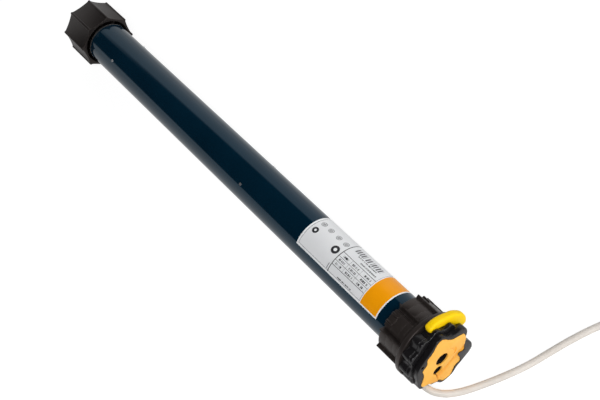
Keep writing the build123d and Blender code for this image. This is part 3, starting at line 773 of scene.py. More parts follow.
# %% [markdown]
# The layout of the print is a list of sizes, in millimetres from the label's end and edge. Words
# are bars broken at uneven places, so nothing can be read, as on a label seen from afar. A noise
# along each row breaks the bars, and each block of words has its own seed.

# %% Label print: layout
border = 1.3
band_end, band_margin = 22.6, 1.0
grid_end, arc_width = 65.7, 0.8
grid_lines, line_widths = (9.6, 14.3, 18.8, 24.0), (0.5, 0.34, 0.34, 0.5)
cell_lines, cell_line_width = (38.5, 52.3), 0.2
stroke_box = (68.1, 68.7, 3.2, 8.6)
bars_box, bar_periods = (27, 61.5, 32.7, 39.5), ((2.7, 0.6), (7.1, 0.8))
hair_inset, hair_width = 0.9, 0.3
icon_along, icon_across = (71.2, 81.4, 92.3, 102.1), 31.4
icon_radius, icon_line, icon_core = 2.8, 0.4, 1.9
icon_period, icon_share = 1.1, 0.5
# Each disc: its place along and across, its radius and the radius of its pale middle
discs = ((73.0, 20.4, 4.1, 1.7), (102.0, 21.0, 3.2, 1.2))
# Each block of words: from and to along, from and to across, pitch of its rows, seed
word_blocks = (
    (25.5, 34.5, 11.0, 22.4, 4.65, 1.0), (41, 50, 11.0, 22.4, 4.65, 1.7),
    (55.5, 63, 11.0, 22.4, 4.65, 2.3), (35.5, 54, 3.2, 4.6, 2.4, 0.6),
    (29.5, 54, 30.3, 31.6, 3.0, 3.1), (26.5, 46.5, 26.4, 28.0, 3.6, 3.7),
)
print("label layout:", len(word_blocks), "blocks of bars and", len(icon_along), "rings")

# %% [markdown]
# Now the masks themselves. The black ink is the largest of them: the lines of the grid, the bars in
# place of words, the discs and the rings with their small stripes.

# %% Label print: black ink
word_height, word_rate, word_share, row_jump = 0.42, 1.3, 0.47, 7.3


def greeked(masks, along_low, along_high, across_low, across_high, pitch, seed):
    """Dark bars broken at uneven places, in place of words."""
    lines = masks.stripes(masks.across, pitch, word_height, -across_low)
    words = masks.nodes.new("ShaderNodeTexNoise")
    words.noise_dimensions = "2D"
    words.inputs["Scale"].default_value = 1.0
    words.inputs["Detail"].default_value = 1
    where = masks.nodes.new("ShaderNodeCombineXYZ")
    masks.links.new(masks.math("MULTIPLY", masks.along, word_rate), where.inputs[0])
    row = masks.math("FLOOR", masks.math("DIVIDE", masks.across, pitch))
    masks.links.new(masks.math("MULTIPLY", row, row_jump * seed), where.inputs[1])
    masks.links.new(where.outputs[0], words.inputs["Vector"])
    letters = masks.math("GREATER_THAN", words.outputs["Fac"], word_share)
    return masks.both(lines, letters, masks.box(along_low, along_high, across_low, across_high))


def ink_mask(masks):
    """Dark ink on the silver part."""
    ink = [masks.box(grid_end, grid_end + arc_width, border, label_width - border),
           masks.box(*stroke_box)]
    for across, line_width in zip(grid_lines, line_widths):
        ink.append(masks.box(band_end, grid_end, across, across + line_width))
    for along in cell_lines:
        ink.append(masks.box(along, along + cell_line_width, grid_lines[0], grid_lines[-1]))
    for block in word_blocks:
        ink.append(greeked(masks, *block))
    for along, across, radius, _ in discs:
        ink.append(masks.disc(along, across, radius))
    for along in icon_along:
        ink.append(masks.ring(along, icon_across, icon_radius, icon_line))
        ink.append(masks.both(masks.disc(along, icon_across, icon_core),
                              masks.stripes(masks.across, icon_period, icon_share)))
    return masks.either(*ink)


print("grid:", len(grid_lines), "lines,", len(cell_lines), "cell lines")

# %% [markdown]
# Two more inks are simple: the thin grey lines inside the border, and the white of the border, of
# the band's edge and of the middles of the discs.

# %% Label print: hairlines and white
def hair_mask(masks):
    """Thin grey lines inside the border and beside the band."""
    start, end = border + hair_inset, label_length - border - hair_inset
    return masks.either(
        masks.box(start, end, start, start + hair_width),
        masks.box(end - hair_width, end, start, label_width),
        masks.box(band_end, band_end + hair_width, border, label_width - border))


def white_mask(masks):
    """White border, the edge of the band and the middles of the discs."""
    inside = masks.box(border, label_length - border, border, label_width - border)
    return masks.either(masks.math("SUBTRACT", 1.0, inside),
                        masks.box(band_end - band_margin, band_end, 0, label_width),
                        *(masks.disc(along, across, middle) for along, across, _, middle in discs))


print("hairlines:", hair_width, "mm wide,", hair_inset, "mm inside the border")

# %% [markdown]
# The layers of print are laid over the silver one by one, as a printer lays inks: black first, then
# the grey bars and hairlines, then the orange band and the white. The foil under them is a bright
# silver grey with slow patches, so it takes the light softly.

# %% Label material
def make_label_material():
    material, nodes, links, shader = start_material("printed_foil", 0.34, Specular_IOR_Level=0.3)
    masks = Masks(nodes, links)
    bars = masks.both(*(masks.stripes(masks.along, period, share) for period, share in bar_periods),
                      masks.box(*bars_box))
    band = masks.box(border, band_end - band_margin, border, label_width - border)
    effect = add_group(nodes, grain_group, Grain_Scale=500.0, Patch_Scale=14.0, Bump_Strength=0.04)
    silver = ramp(nodes, (0.3, (0.81, 0.82, 0.84)), (0.75, (0.91, 0.92, 0.93)))
    links.new(effect.outputs["Patches"], silver.inputs["Fac"])
    last = silver.outputs["Color"]
    layers = (
        (ink_mask(masks), (0.03, 0.03, 0.035)), (bars, (0.13, 0.13, 0.14)),
        (hair_mask(masks), (0.1, 0.1, 0.12)), (band, (1.0, 0.37, 0.0)),
        (white_mask(masks), (0.95, 0.96, 0.97)),
    )
    for mask, colour in layers:
        last = lay_colour(nodes, links, mask, last, colour)
    links.new(last, shader.inputs["Base Color"])
    links.new(effect.outputs["Normal"], shader.inputs["Normal"])
    print("label print:", len(layers), "layers")
    return material


foil_print = make_label_material()

# %% [markdown]
# The foil itself is a thin skin over a sector of the tube, and its outer face stands 0.08 mm above
# the paint. It is turned from its section like the tube, so the two curve alike.

# %% Label foil
foil_thickness = 0.06
foil_profile = (
    (label_back, foil_radius - foil_thickness), (label_back, foil_radius),
    (label_front, foil_radius), (label_front, foil_radius - foil_thickness),
)
foil = turned("label_foil", foil_profile, 64, label_first, label_last)
label = new_piece("label_foil", foil, "housing")
dress(label, foil_print)
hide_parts("rating_label")
print("label faces:", len(label.data.polygons))

# %% [markdown]
# The head: a block with twelve round lobes, cut away on top for the cap, and in front of it a rim
# that follows the face plate more closely. The plate and the rim are each one outline of given
# points, smoothed, because no formula describes them.

# %% Outlines of the head
plate_points = (
    (20, 27.2), (5, 26.6), (-12, 24.4), (-24, 25.2), (-31.5, 26), (-35, 20.9), (-42, 20.8),
    (-50, 25.8), (-57, 29.2), (-67, 28), (-75, 30.1), (-82, 33.6), (-89, 34), (-97, 33.2),
    (-105, 28.6), (-120, 26.7), (-134, 27.4), (-147, 28.8), (-154, 27.6), (-161, 23.4),
    (-170, 20.6), (176, 19.9), (166, 20.4), (153, 17.2), (142, 17.4), (131, 19.7), (119, 19.1),
    (106, 20.2), (92, 24.3), (83, 25.9), (75, 25.4), (61, 21.6), (45, 20.6), (32, 23.2),
)
rim_points = (
    (20, 31.6), (12, 29.6), (5, 26.8), (0, 26), (-6, 26.6), (-14, 30), (-22, 33.4), (-31, 35.4),
    (-40, 34.6), (-49, 32.6), (-58, 31.6), (-68, 31.2), (-78, 33.4), (-87, 34.4), (-101, 33.6),
    (-112, 28.8), (-124, 28.6), (-148, 31.6), (-163, 28.6), (180, 26.8), (164, 26.4), (151, 24.8),
    (139, 23), (127, 22.2), (110, 22.8), (98, 25.4), (87, 28.1), (75, 28), (62, 24.8), (51, 24),
    (43, 26.4), (36, 30.2), (28, 32.2),
)
gland_centre = (-21.5, -22.5)
gland_radius = 4.6
second_hole = around(12.36, -122.5)
lobe_count, lobe_radius, lobe_height, lobe_angle = 12, 30.0, 1.6, 20.0
seat_radius = 26.5
seat_first, seat_last = -2.0, 97.0


def without_circle(outline, centre, radius):
    """Push the points of an outline out of a round cut-out."""
    line = []
    middle = Vector(centre)
    for y, z in outline:
        away = Vector((y, z)) - middle
        if away.length < radius:
            inward = -Vector((y, z)).normalized()
            reach = away.dot(inward)
            short = radius * radius - away.length_squared
            step = -reach + math.sqrt(max(0.0, reach * reach + short))
            y, z = y + inward.x * step, z + inward.y * step
        line.append((y, z))
    return line


def lobed(seat=False):
    line = []
    for step in range(360):
        angle = lobe_angle + step
        radius = lobe_radius + lobe_height * math.cos(math.radians(lobe_count * step))
        turn = (angle + 180) % 360 - 180
        if seat and seat_first <= turn <= seat_last:
            radius = min(radius, seat_radius)
        line.append(around(radius, angle))
    return without_circle(line, gland_centre, gland_radius)


print("lobed outline:", len(lobed()), "points")

# %% [markdown]
# The neck carries the crown, and the spigot behind it goes into the tube. Both are turned from
# their sections. Below, the neck is open where the counter's pinion reaches the teeth of the crown,
# so that stretch is a part turn.

# %% Neck and spigot of the head
seat_front, block_back = -9.5, -17.3
neck_front, neck_back, neck_bore = block_back + 0.1, -44.0, 19.0
spigot_back, spigot_radius, spigot_bore = -72.0, 21.2, 18.6
counter_angle = -110.0
window_back, window_front, window_half = -31.6, -22.4, 47.0
neck_sides, window_sides = 96, 72


def neck_meshes():
    """The neck, open below where the pinion reaches the crown, and the spigot behind it."""
    front = ((neck_front, tube_radius), (window_front, tube_radius), (window_front, neck_bore),
             (neck_front, neck_bore))
    beside = ((window_front, tube_radius), (window_back, tube_radius), (window_back, neck_bore),
              (window_front, neck_bore))
    behind = ((window_back, tube_radius), (neck_back, tube_radius), (neck_back, spigot_radius),
              (spigot_back, spigot_radius), (spigot_back, spigot_bore), (window_back, spigot_bore))
    first, last = counter_angle + window_half, counter_angle + full_turn - window_half
    return [
        turned("neck_front", front, neck_sides), turned("neck_behind", behind, neck_sides),
        turned("neck_beside", beside, window_sides, first, last),
    ]


print("the neck's window is", 2 * window_half, "degrees wide")

# %% [markdown]
# The head is put together from parts that meet: a block of two slabs, the rim with a pocket that
# the face plate lies in, and the neck that the crown turns on. The holes for the bracket's studs
# go on into the black, so they look deep. Its sizes come first.

# %% Sizes of the head
plate_thickness = 1.8
pocket_gap, pocket_floor = 0.15, -plate_thickness - 0.05
plate_cord_gap = 1.7
rim_back, rim_front = -6.0, -0.5
bracket_bore, bore_floor = 6.0, -14.0
pin_bore, pin_floor = 4.5, -10.0
button_x, button_places = -13.4, (8.0, 18.0)
button_bore, button_floor, button_top = 2.88, 14, 40
counter_axis = around(12.0, counter_angle)
shaft_bore, shaft_floor = 1.6, -14.5
screw_hole, screw_hole_radius, screw_floor = around(21.6, 152), 1.5, -5.5
soft_edge, block_edge, cutter_edge, fine_edge = 0.7, 0.5, 0.05, 0.02
beyond = 1.0
print("the plate lies", round(plate_thickness + rim_front, 2), "mm deep in the rim")

# %% [markdown]
# Two helpers draw what the plate and the head share: the plate's outline, which with a small gap
# is also the pocket's, and the pair of holes for the studs. The plate stops short of the cord.

# %% Outlines that the plate and the head share
def plate_line(gap=0.0):
    """Outline of the face plate, or of the pocket that it lies in."""
    points = [(angle, radius + gap) for angle, radius in plate_points]
    return without_circle(smooth_polar(points), gland_centre, cord_radius + plate_cord_gap - gap)


def stud_circles(large, small):
    """Outlines of the two holes for the bracket's studs."""
    return [circle(large), circle(small, second_hole, 64)]


print("plate outline:", len(plate_line()), "points")

# %% [markdown]
# The block is the lobed back of the head. Its seat for the cap is cut away on top, and blind holes
# run into it for the studs, the limit buttons and the counter's shaft.

# %% Block and rim of the head
def make_block():
    """Back of the head, with its seat for the cap and the blind holes in it."""
    block = slab_mesh("block_back", [lobed(seat=True)], block_back, seat_front, block_edge)
    large, small = stud_circles(bracket_bore, pin_bore)
    shaft = circle(shaft_bore, counter_axis, 32)
    cutters = [upright_hole(button_bore, button_x, y, button_floor, button_top)
               for y in button_places]
    cutters += [
        slab_mesh("shaft_hole", [shaft], block_back - beyond, shaft_floor, cutter_edge),
        slab_mesh("bore", [large], bore_floor, seat_front + beyond, cutter_edge),
        slab_mesh("pin_hole", [small], pin_floor, seat_front + beyond, cutter_edge),
    ]
    return cut(block, cutters)


def make_rim():
    """Front of the head, with a pocket for the face plate and a screw hole beside it."""
    outline = without_circle(smooth_polar(rim_points), gland_centre, gland_radius)
    outlines = [outline] + stud_circles(bracket_bore, pin_bore)
    screw_circle = circle(screw_hole_radius, screw_hole, 24)
    return cut(slab_mesh("rim", outlines, rim_back, rim_front, soft_edge), [
        slab_mesh("pocket", [plate_line(pocket_gap)], pocket_floor, beyond, fine_edge),
        slab_mesh("screw_hole", [screw_circle], screw_floor, beyond, cutter_edge),
    ])


def make_head():
    middle_outlines = [lobed()] + stud_circles(bracket_bore, pin_bore)
    middle = slab_mesh("block_front", middle_outlines, seat_front, rim_back, soft_edge)
    parts = [make_block(), middle, make_rim()] + neck_meshes()
    head = new_piece("head_block", joined("head_block", parts), "housing")
    dress(head, head_nylon)
    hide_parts("head_body")
    return head


head = make_head()
print("head faces:", len(head.data.polygons))

# %% [markdown]
# The face plate lies in the rim. Its two holes take a bracket's studs and are a little wider than
# the bores behind them. A fine slit runs from the smaller hole to the lower edge, a shallow
# crescent lies beside the larger one, and the part right of the slit steps back with a soft edge.
# The plate is a slab, and three cutters take these shapes away.

# %% Shapes that are cut into the face plate
slit_points = (
    (-9.6, -13.0), (-8.8, -13.0), (-8.0, -19.9), (-9.4, -30.0), (-10.2, -30.0), (-8.8, -19.9),
)
slit_depth = 3.0
step_start, step_slope = (-8.4, -18.2), 0.36
step_first, step_last = -9.4, 40.0
step_section = (
    (-3, 0), (-1.5, -0.2), (0, -0.62), (1.1, -0.9), (2.6, -1.08), (5, -1.2), (30, -1.2), (30, 2),
    (-3, 2),
)
crescent_centre, crescent_radius, crescent_width = (7.6, -0.6), 6.7, 1.3
crescent_first, crescent_last, crescent_depth = -55, 72, 0.9


def crescent_line(steps=24):
    """Crescent that is widest in its middle."""
    line = []
    for way in (1, -1):
        for step in range(steps):
            t = step / steps if way > 0 else 1 - step / steps
            radius = crescent_radius + way * crescent_width * math.sin(math.pi * t)
            y, z = around(radius, crescent_first + (crescent_last - crescent_first) * t)
            line.append((y + crescent_centre[0], z + crescent_centre[1]))
    return line


def step_cutter():
    """Solid that lowers the plate right of the slit: its section runs along a slanted line."""
    builder = bmesh.new()
    stretch = math.hypot(1, step_slope)
    sides = []
    for y in (step_first, step_last):
        foot = step_start[1] + step_slope * (y - step_start[0])
        sides.append([builder.verts.new((mm(x), mm(y), mm(foot - down * stretch)))
                      for down, x in step_section])
    return skin_mesh("face_step", builder, sides)


print("crescent:", len(crescent_line()), "points")

# %% [markdown]
# The plate is a warm yellow with a painted orange shade in the step. The recess there is shaded,
# light comes back off the plate itself, and both are painted into the colour. Two soft fades across
# the step's slanted line draw the painted shade: one sets in at the step, and the other fades
# slowly below it. A test on Y keeps the painted shade right of the slit.

# %% Colour of the face plate
# Painted shade: an orange tone laid into the colour of the step, where the recess is shaded.
painted_shade_fades = ((-3.5, 0.2), (9.0, 0.8))
painted_shade_tone = (1.0, 0.4, 0.0)
painted_shade_left = step_start[0] - 0.8


def face_colour():
    material = moulded("warm_yellow_plastic", (0.95, 0.46, 0.065), (1.0, 0.54, 0.095), 0.4,
                       grain=0.05, Specular_IOR_Level=0.25)
    nodes, links = material.node_tree.nodes, material.node_tree.links
    shader = nodes["Principled BSDF"]
    place = nodes.new("ShaderNodeTexCoord")
    split = nodes.new("ShaderNodeSeparateXYZ")
    across = nodes.new("ShaderNodeVectorMath")
    across.operation = "DOT_PRODUCT"
    stretch = math.hypot(1, step_slope)
    across.inputs[1].default_value = (0, step_slope / stretch, -1 / stretch)
    links.new(place.outputs["Object"], across.inputs[0])
    links.new(place.outputs["Object"], split.inputs[0])
    foot = mm(step_slope * step_start[0] - step_start[1]) / stretch
    mask = math_node(nodes, links, "GREATER_THAN", split.outputs["Y"], mm(painted_shade_left))
    for first, last in painted_shade_fades:
        fade = nodes.new("ShaderNodeMapRange")
        fade.interpolation_type = "SMOOTHSTEP"
        fade.inputs["From Min"].default_value = foot + mm(first)
        fade.inputs["From Max"].default_value = foot + mm(last)
        links.new(across.outputs["Value"], fade.inputs["Value"])
        mask = math_node(nodes, links, "MULTIPLY", mask, fade.outputs["Result"])
    below = shader.inputs["Base Color"].links[0].from_socket
    links.new(lay_colour(nodes, links, mask, below, painted_shade_tone), shader.inputs["Base Color"])
    return material


face_yellow = face_colour()
print("face colour:", face_yellow.name, "with", len(painted_shade_fades), "fades")

# %% [markdown]
# Now the plate itself. Its edges are rounded only a little, as on a thin moulded cover, and its
# holes show the deep bores of the head behind them.

# %% Face plate
stud_hole, small_stud_hole = 6.4, 4.8
plate_edge = 0.35


def make_face():
    outlines = [plate_line()] + stud_circles(stud_hole, small_stud_hole)
    plate = slab_mesh("face_plate_front", outlines, -plate_thickness, 0.0, plate_edge)
    mesh = cut(plate, [
        slab_mesh("slit", [slit_points], -slit_depth, beyond, fine_edge),
        step_cutter(),
        slab_mesh("crescent", [crescent_line()], -crescent_depth, beyond, cutter_edge),
    ])
    face = new_piece("face_plate_front", mesh, "housing")
    dress(face, face_yellow)
    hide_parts("face_plate")
    return face


face = make_face()
print("face plate faces:", len(face.data.polygons))

# %% [markdown]
# Three coil springs stand between a fixed part and one that slides: one under each limit button
# and one behind the brake's armature. Each is a wire swept along a helix.

# %% Springs
spring_sides, spring_steps = 10, 20
upright = ((0, 0, 1), (1, 0, 0), (0, 1, 0))
lengthwise = ((1, 0, 0), (0, 1, 0), (0, 0, 1))
up_foot, down_foot = ((button_x, y, 14.33) for y in button_places)
brake_foot = (-335.84, 0, 0)
# Each spring: foot, axes, height, radius, wire, turns, body at its foot, body at its other end
springs = {
    "button_spring_up": (up_foot, upright, 6.74, 1.9, 0.22, 4, "housing", "limit_button_up"),
    "button_spring_down": (down_foot, upright, 3.14, 1.9, 0.22, 2.5, "housing",
                           "limit_button_down"),
    "brake_spring": (brake_foot, lengthwise, 7.28, 10.5, 0.5, 3, "brake_armature", "housing"),
}


def spring_mesh(name, foot, axes, height, radius, wire, turns):
    """Wire of a coil spring, in millimetres, from its foot along the first of its axes."""
    builder = bmesh.new()
    along, out, side = (Vector(axis) for axis in axes)
    count = round(turns * spring_steps)
    rings = []
    for step in range(count + 1):
        angle = 2 * math.pi * turns * step / count
        outward = out * math.cos(angle) + side * math.sin(angle)
        centre = Vector(foot) + along * (height * step / count) + outward * radius
        ring = []
        for k in range(spring_sides):
            turn = 2 * math.pi * k / spring_sides
            place = centre + (outward * math.cos(turn) + along * math.sin(turn)) * wire
            ring.append(builder.verts.new(place / 1000))
        rings.append(ring)
    return skin_mesh(name, builder, rings)


for node, (foot, axes, height, radius, wire, turns, low_body, high_body) in springs.items():
    mesh = spring_mesh(node + "_wire", foot, axes, height, radius, wire, turns)
    mesh.shade_smooth()
    spring = placed(mesh.name, mesh)
    dress(spring, finishes["spring_steel"])
    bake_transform(spring)
    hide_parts(node)
print("springs:", len(springs))

# %% [markdown]
# The crown is the ring that the blind's tube turns. Its ribs come in pairs beside the corners of an
# octagonal tube, each with a groove at its foot. An outline with one radius for each quarter of a
# degree draws all of it, and a short average along the radii softens every corner.

# %% Outlines of the crown
crown_radius, rib_radius, flange_radius = 27.9, 30.6, 31.8
crown_bore = 22.56
rib_corner, rib_spread = 22.5, 26.0
rib_half, groove_half, groove_shift, groove_depth = 1.6, 3.0, 5.8, 2.4
small_bar_spread, small_bar_half, small_bar_radius = 8.0, 2.2, 29.1
tooth_count, tooth_middle, tooth_height, tooth_flatness = 48, 24.1, 0.8, 1.7
crown_steps, tooth_steps = 1440, 16


def crown_radius_at(angle, grooves, bars):
    """Radius of the crown before its corners are softened."""
    radius = crown_radius
    for quarter in range(4):
        off_corner = (angle - rib_corner - 90 * quarter + 180) % 360 - 180
        for side in (-1, 1):
            off = off_corner - side * rib_spread
            if abs(off) <= rib_half:
                radius = rib_radius
            elif grooves and abs(off + side * groove_shift) <= groove_half:
                radius = crown_radius - groove_depth
            elif bars and abs(off_corner - side * small_bar_spread) <= small_bar_half:
                radius = small_bar_radius
    return radius


def crown_line(grooves=True, bars=False):
    """Outline of the crown: its ribs, the grooves beside them and the small bars at the back."""
    angles = [360 * k / crown_steps for k in range(crown_steps)]
    radii = [crown_radius_at(angle, grooves, bars) for angle in angles]
    line = []
    for k, angle in enumerate(angles):
        soft = sum(radii[(k + i) % crown_steps] for i in (-2, -1, 0, 1, 2)) / 5
        line.append(around(soft, angle))
    return line


def tooth_line():
    """Inside of the tooth ring that drives the counter."""
    line = []
    for step in range(tooth_count * tooth_steps):
        angle = counter_angle + 360 * step / (tooth_count * tooth_steps)
        wave = tooth_flatness * math.cos(2 * math.pi * step / tooth_steps)
        line.append(around(tooth_middle + tooth_height * max(-1, min(1, wave)), angle))
    return line


print("crown outline:", len(crown_line()), "points, tooth ring:", len(tooth_line()), "points")

# %% [markdown]
# The crown changes along the axis: small bars at the back, a plain bore, the ring of teeth, and in
# front the flange that stops the blind's tube. Slabs that meet end to end follow this change.

# %% Crown
crown_back, bar_front, teeth_back, groove_front = -47.5, -40.0, -31.0, -26.0
teeth_front, flange_back, crown_front = -23.0, -22.0, -17.7


def make_crown():
    bore, teeth = circle(crown_bore, points=192), tooth_line()
    grooved, plain = crown_line(), crown_line(grooves=False)
    flange = circle(flange_radius, points=192)
    stretches = (
        ("crown_bars", crown_line(bars=True), bore, crown_back, bar_front, 0.2),
        ("crown_body", grooved, bore, bar_front, teeth_back, 0.1),
        ("crown_teeth", grooved, teeth, teeth_back, groove_front, 0.1),
        ("crown_collar", plain, teeth, groove_front, teeth_front, 0.1),
        ("crown_seat", plain, bore, teeth_front, flange_back, 0.1),
        ("crown_flange", flange, bore, flange_back, crown_front, 0.5),
    )
    parts = [slab_mesh(name, [outside, inside], x_back, x_front, rounding)
             for name, outside, inside, x_back, x_front, rounding in stretches]
    crown = new_piece("crown_ring", joined("crown_ring", parts), "crown")
    dress(crown, crown_nylon_painted_light)
    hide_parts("crown")
    return crown


crown = make_crown()
print("crown faces:", len(crown.data.polygons))

# %% [markdown]
# The drive wheel carries the far end of the blind's tube. It is an eight-sided shell with a raised
# ridge at each corner, a web in its middle, eight ribs and a hub that grips the flats of the shaft.

# %% Outlines of the drive wheel
facet_count = 8
facet_turn = 360 / facet_count
wheel_corner, wheel_shoulder, wheel_facet, wheel_bore = 31.1, 29.7, 27.3, 25.1
shoulder_angle = 3.0
bead_steps, facet_steps = 4, 12
shaft_radius, shaft_flat = 8.0, 6.6
wheel_rib_inner, wheel_rib_outer, wheel_rib_half = 11, 26, 1


def wheel_line():
    """Octagon with a bead on each corner and slightly hollow facets."""
    line = []
    for k in range(facet_count):
        corner = facet_turn * (k + 0.5)
        for step in range(-bead_steps, bead_steps + 1):
            off = step / bead_steps
            height = (wheel_corner - wheel_shoulder) * math.sqrt(1 - off * off)
            line.append(around(wheel_shoulder + height, corner + off * shoulder_angle))
        first = Vector(line[-1])
        last = Vector(around(wheel_shoulder, corner + facet_turn - shoulder_angle))
        bulge = Vector(around(wheel_facet, corner + facet_turn / 2)) - (first + last) / 2
        for step in range(1, facet_steps):
            t = step / facet_steps
            place = first.lerp(last, t) + bulge * 4 * t * (1 - t)
            line.append((place.x, place.y))
    return line


def shaft_line():
    """Bore with two flats for the output shaft."""
    return [(y, max(-shaft_flat, min(shaft_flat, z))) for y, z in circle(shaft_radius)]


def wheel_rib_line(angle):
    """Outline of one rib, from the hub to the shell."""
    along, aside = Vector(around(1, angle)), Vector(around(1, angle + 90)) * wheel_rib_half
    inner, outer = along * wheel_rib_inner, along * wheel_rib_outer
    corners = (inner - aside, outer - aside, outer + aside, inner + aside)
    return [tuple(corner) for corner in corners]


print("wheel outline:", len(wheel_line()), "points")

# %% [markdown]
# The wheel is put together from its shell, its web, its hub with a collar round the circlip, and
# its ribs, each a slab with slightly rounded edges.

# %% Drive wheel
wheel_front, wheel_back = -540.0, -580.0
hub_radius, hub_front, hub_recess = 12.5, -546.0, 10.5
web_radius, web_back, web_front = 25.8, -568.0, -564.0
wheel_rib_front, circlip_front = -552.0, -577.0


def make_wheel():
    shell = [wheel_line(), circle(wheel_bore, points=128)]
    collar = [circle(hub_radius), circle(hub_recess)]
    parts = [
        slab_mesh("wheel_shell", shell, wheel_back, wheel_front, 0.35),
        slab_mesh("wheel_web", [circle(web_radius), shaft_line()], web_back, web_front, 0.3),
        slab_mesh("wheel_hub", [circle(hub_radius), shaft_line()], circlip_front, hub_front, 0.5),
        slab_mesh("hub_collar", collar, wheel_back, circlip_front, 0.3),
    ]
    for k in range(facet_count):
        rib = [wheel_rib_line(facet_turn * (k + 0.5))]
        parts.append(slab_mesh("wheel_rib", rib, circlip_front, wheel_rib_front, 0.3))
    wheel = new_piece("octagon_wheel", joined("octagon_wheel", parts), "output")
    dress(wheel, black_nylon)
    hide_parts("drive_wheel")
    return wheel


wheel = make_wheel()
print("wheel faces:", len(wheel.data.polygons))

# %% [markdown]
# The yellow cap clips over the two limit buttons. It is a soft saddle, thicker at the right. Its
# section is a rectangle with very round corners, which changes its height along the arc and closes
# at both ends as a rounded tip does. A loft through such rings gives a skin with no hard edge.

# %% Sizes of the cap
cap_middle, cap_half_width, cap_corner = -13.4, 3.6, 0.55
# Each row: angle round the head, lowest and highest radius of the cap there
cap_heights = (
    (8, 27.6, 37.4), (14, 26.9, 38.8), (23, 26.8, 39.3), (34, 26.8, 38.8), (44, 26.8, 38.3),
    (52, 26.8, 37.1), (62, 26.8, 36.7), (73, 26.8, 36.3), (80, 26.9, 35.3), (84, 27.2, 34.2),
)
cap_tip_turn = 4.5
tip_steps = (0.25, 0.5, 0.7, 0.85, 0.94, 0.99)
cap_smooth_angle = 60
print("cap:", len(cap_heights), "rows of heights")

# %% [markdown]
# A ring is drawn like a circle, but with its sine and cosine pushed towards 1, which makes it a
# rectangle with very round corners. Rings that shrink as a circle does close the two tips.

# %% Cap
def rounded(part):
    """Turn a sine or cosine into the side of a rectangle with very round corners."""
    return math.copysign(abs(part) ** cap_corner, part)


def cap_ring(builder, angle, low, high, share=1.0, sides=40):
    """Points round the cap at one angle. The share makes the ring smaller towards a tip."""
    ring = []
    for side in range(sides):
        turn = 2 * math.pi * side / sides
        wide, tall = rounded(math.cos(turn)), rounded(math.sin(turn))
        y, z = around((low + high) / 2 + share * tall * (high - low) / 2, angle)
        x = cap_middle + share * wide * cap_half_width
        ring.append(builder.verts.new((mm(x), mm(y), mm(z))))
    return ring


def cap_tip(builder, end, way):
    """Rings that close one end of the cap, from the body outwards."""
    angle, low, high = end
    return [cap_ring(builder, angle + way * cap_tip_turn * t, low, high, math.sqrt(1 - t * t))
            for t in tip_steps]


def make_cap(steps=6):
    builder = bmesh.new()
    rows = [Vector(row) for row in (cap_heights[0], *cap_heights, cap_heights[-1])]
    stations = []
    for k in range(len(rows) - 3):
        stations += [smooth_between(*rows[k:k + 4], i / steps) for i in range(steps)]
    stations.append(rows[-1])
    rings = cap_tip(builder, stations[0], -1)[::-1]
    rings += [cap_ring(builder, *row) for row in stations]
    rings += cap_tip(builder, stations[-1], 1)
    mesh = skin_mesh("limit_cover", builder, rings)
    cap = new_piece("limit_cover", mesh, "limit_cap", cap_smooth_angle)
    dress(cap, cap_yellow)
    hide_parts("limit_cap")
    return cap


cap = make_cap()
print("cap faces:", len(cap.data.polygons))

# %% [markdown]
# The stage: a white floor and an even white ground. The camera sees them pure white, as in a
# product picture, with only a breath of shadow under the motor. Light Path does this: a camera ray
# finds a floor that glows, and a mirrored ray finds a weaker glow, because the two pale bands on
# the tube are the white ground itself. Every other ray finds an ordinary pale floor.

# %% Light Path helpers
ray_kinds = ("Is Camera Ray", "Is Glossy Ray", "Is Transmission Ray")


def rays(nodes, links, *kinds):
    """1 for any of these kinds of ray, else 0."""
    path = nodes.new("ShaderNodeLightPath")
    last = path.outputs[kinds[0]]
    for kind in kinds[1:]:
        last = math_node(nodes, links, "MAXIMUM", last, path.outputs[kind])
    return last


def blend_values(nodes, links, factor, first, second):
    """The first value where the factor is 0, the second where it is 1."""
    mix = nodes.new("ShaderNodeMix")
    links.new(factor, mix.inputs["Factor"])
    for socket, value in (("A", first), ("B", second)):
        if isinstance(value, (int, float)):
            mix.inputs[socket].default_value = value
        else:
            links.new(value, mix.inputs[socket])
    return mix.outputs["Result"]


print("rays that see the white ground:", ", ".join(ray_kinds))

# %% [markdown]
# The floor is one large square under the motor. Its colour and its glow are mixed from the kinds of
# ray that find it, which is simpler than a second floor that only some rays see.

# %% Floor
floor_white, floor_half = 0.8, 4.0
seen_share, seen_glow = 0.3, 0.87
mirrored_glow = 0.5


def floor_material():
    material, nodes, links, shader = start_material("pale_floor", 0.9, Specular_IOR_Level=0.0,
                                                    Emission_Color=(1, 1, 1, 1))
    seen = rays(nodes, links, *ray_kinds)
    share = blend_values(nodes, links, seen, floor_white, seen_share)
    mirrored = blend_values(nodes, links, rays(nodes, links, *ray_kinds[1:]), 0.0, mirrored_glow)
    glow = blend_values(nodes, links, rays(nodes, links, ray_kinds[0]), mirrored, seen_glow)
    colour = nodes.new("ShaderNodeCombineColor")
    for socket in ("Red", "Green", "Blue"):
        links.new(share, colour.inputs[socket])
    links.new(colour.outputs["Color"], shader.inputs["Base Color"])
    links.new(glow, shader.inputs["Emission Strength"])
    return material


def make_floor():
    mesh = bpy.data.meshes.new("floor")
    square = ((-1, -1), (1, -1), (1, 1), (-1, 1))
    corners = [(x * floor_half, y * floor_half, mm(floor_z)) for x, y in square]
    mesh.from_pydata(corners, [], [(0, 1, 2, 3)])
    floor = placed("floor", mesh)
    mesh.materials.append(floor_material())
    return floor


floor = make_floor()
print("floor at", floor_z, "mm")

# %% [markdown]
# The room is white paper that rises high on the right and low on the left, under a dark ceiling.
# The dark stripe along the tube is that ceiling. A short gradient in the world's direction draws
# the edge between the two, so that the same picture lies on every glossy piece.

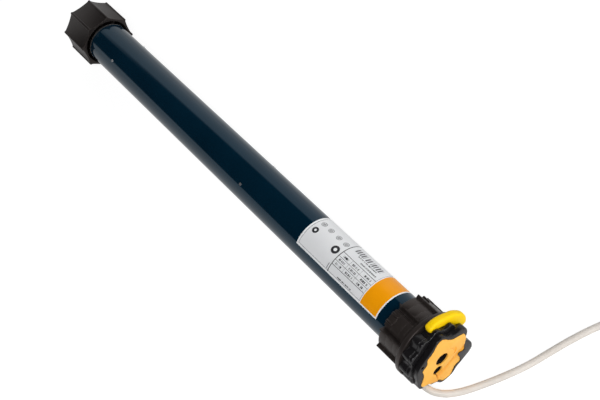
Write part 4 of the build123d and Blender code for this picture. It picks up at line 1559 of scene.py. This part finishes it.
# %% Room
paper_light, ceiling_light = 0.74, 0.022
paper_top, paper_slope = 0.675, 0.75
edge_softness = 0.03


def make_room():
    world = bpy.data.worlds.new("studio")
    bpy.context.scene.world = world
    world.use_nodes = True
    nodes, links = world.node_tree.nodes, world.node_tree.links
    sky = nodes["Background"]
    place = nodes.new("ShaderNodeTexCoord")
    split = nodes.new("ShaderNodeSeparateXYZ")
    links.new(place.outputs["Generated"], split.inputs[0])
    left = math_node(nodes, links, "MINIMUM", split.outputs["Y"], 0.0)
    fall = math_node(nodes, links, "MULTIPLY", left, paper_slope)
    top = math_node(nodes, links, "ADD", fall, paper_top)
    height = math_node(nodes, links, "SUBTRACT", split.outputs["Z"], top)
    above = nodes.new("ShaderNodeMapRange")
    above.interpolation_type = "SMOOTHSTEP"
    above.inputs["From Min"].default_value = -edge_softness
    above.inputs["From Max"].default_value = edge_softness
    links.new(height, above.inputs["Value"])
    light = blend_values(nodes, links, above.outputs["Result"], paper_light, ceiling_light)
    sky.inputs["Color"].default_value = (1, 1, 1, 1)
    seen = rays(nodes, links, "Is Camera Ray")
    links.new(blend_values(nodes, links, seen, light, 1.0), sky.inputs["Strength"])
    return world


room = make_room()
print("room:", room.name)

# %% [markdown]
# Two large soft lamps stand on the camera's side. The tube can't mirror them towards the camera
# from there, so they light the colours and leave the dark stripe alone.

# %% Lamps
lamp_size = 0.9


def soft_lamp(name, place, target, power):
    data = bpy.data.lights.new(name, "AREA")
    data.shape = "SQUARE"
    data.size = lamp_size
    data.energy = power
    lamp = placed(name, data)
    lamp.location = place
    lamp.rotation_euler = (Vector(target) - Vector(place)).to_track_quat("-Z", "Y").to_euler()
    return lamp


lamps = (
    soft_lamp("key", (0.9, -0.7, 1.5), (-0.15, 0, 0), 24),
    soft_lamp("fill", (1.1, 1.0, 0.8), (-0.1, 0, 0), 9),
)
print("lamps:", [lamp.name for lamp in lamps])

# %% [markdown]
# The picture's colours are read as they are written, so the view transform is the plain one.

# %% Finish
bpy.context.scene.view_settings.view_transform = "Standard"
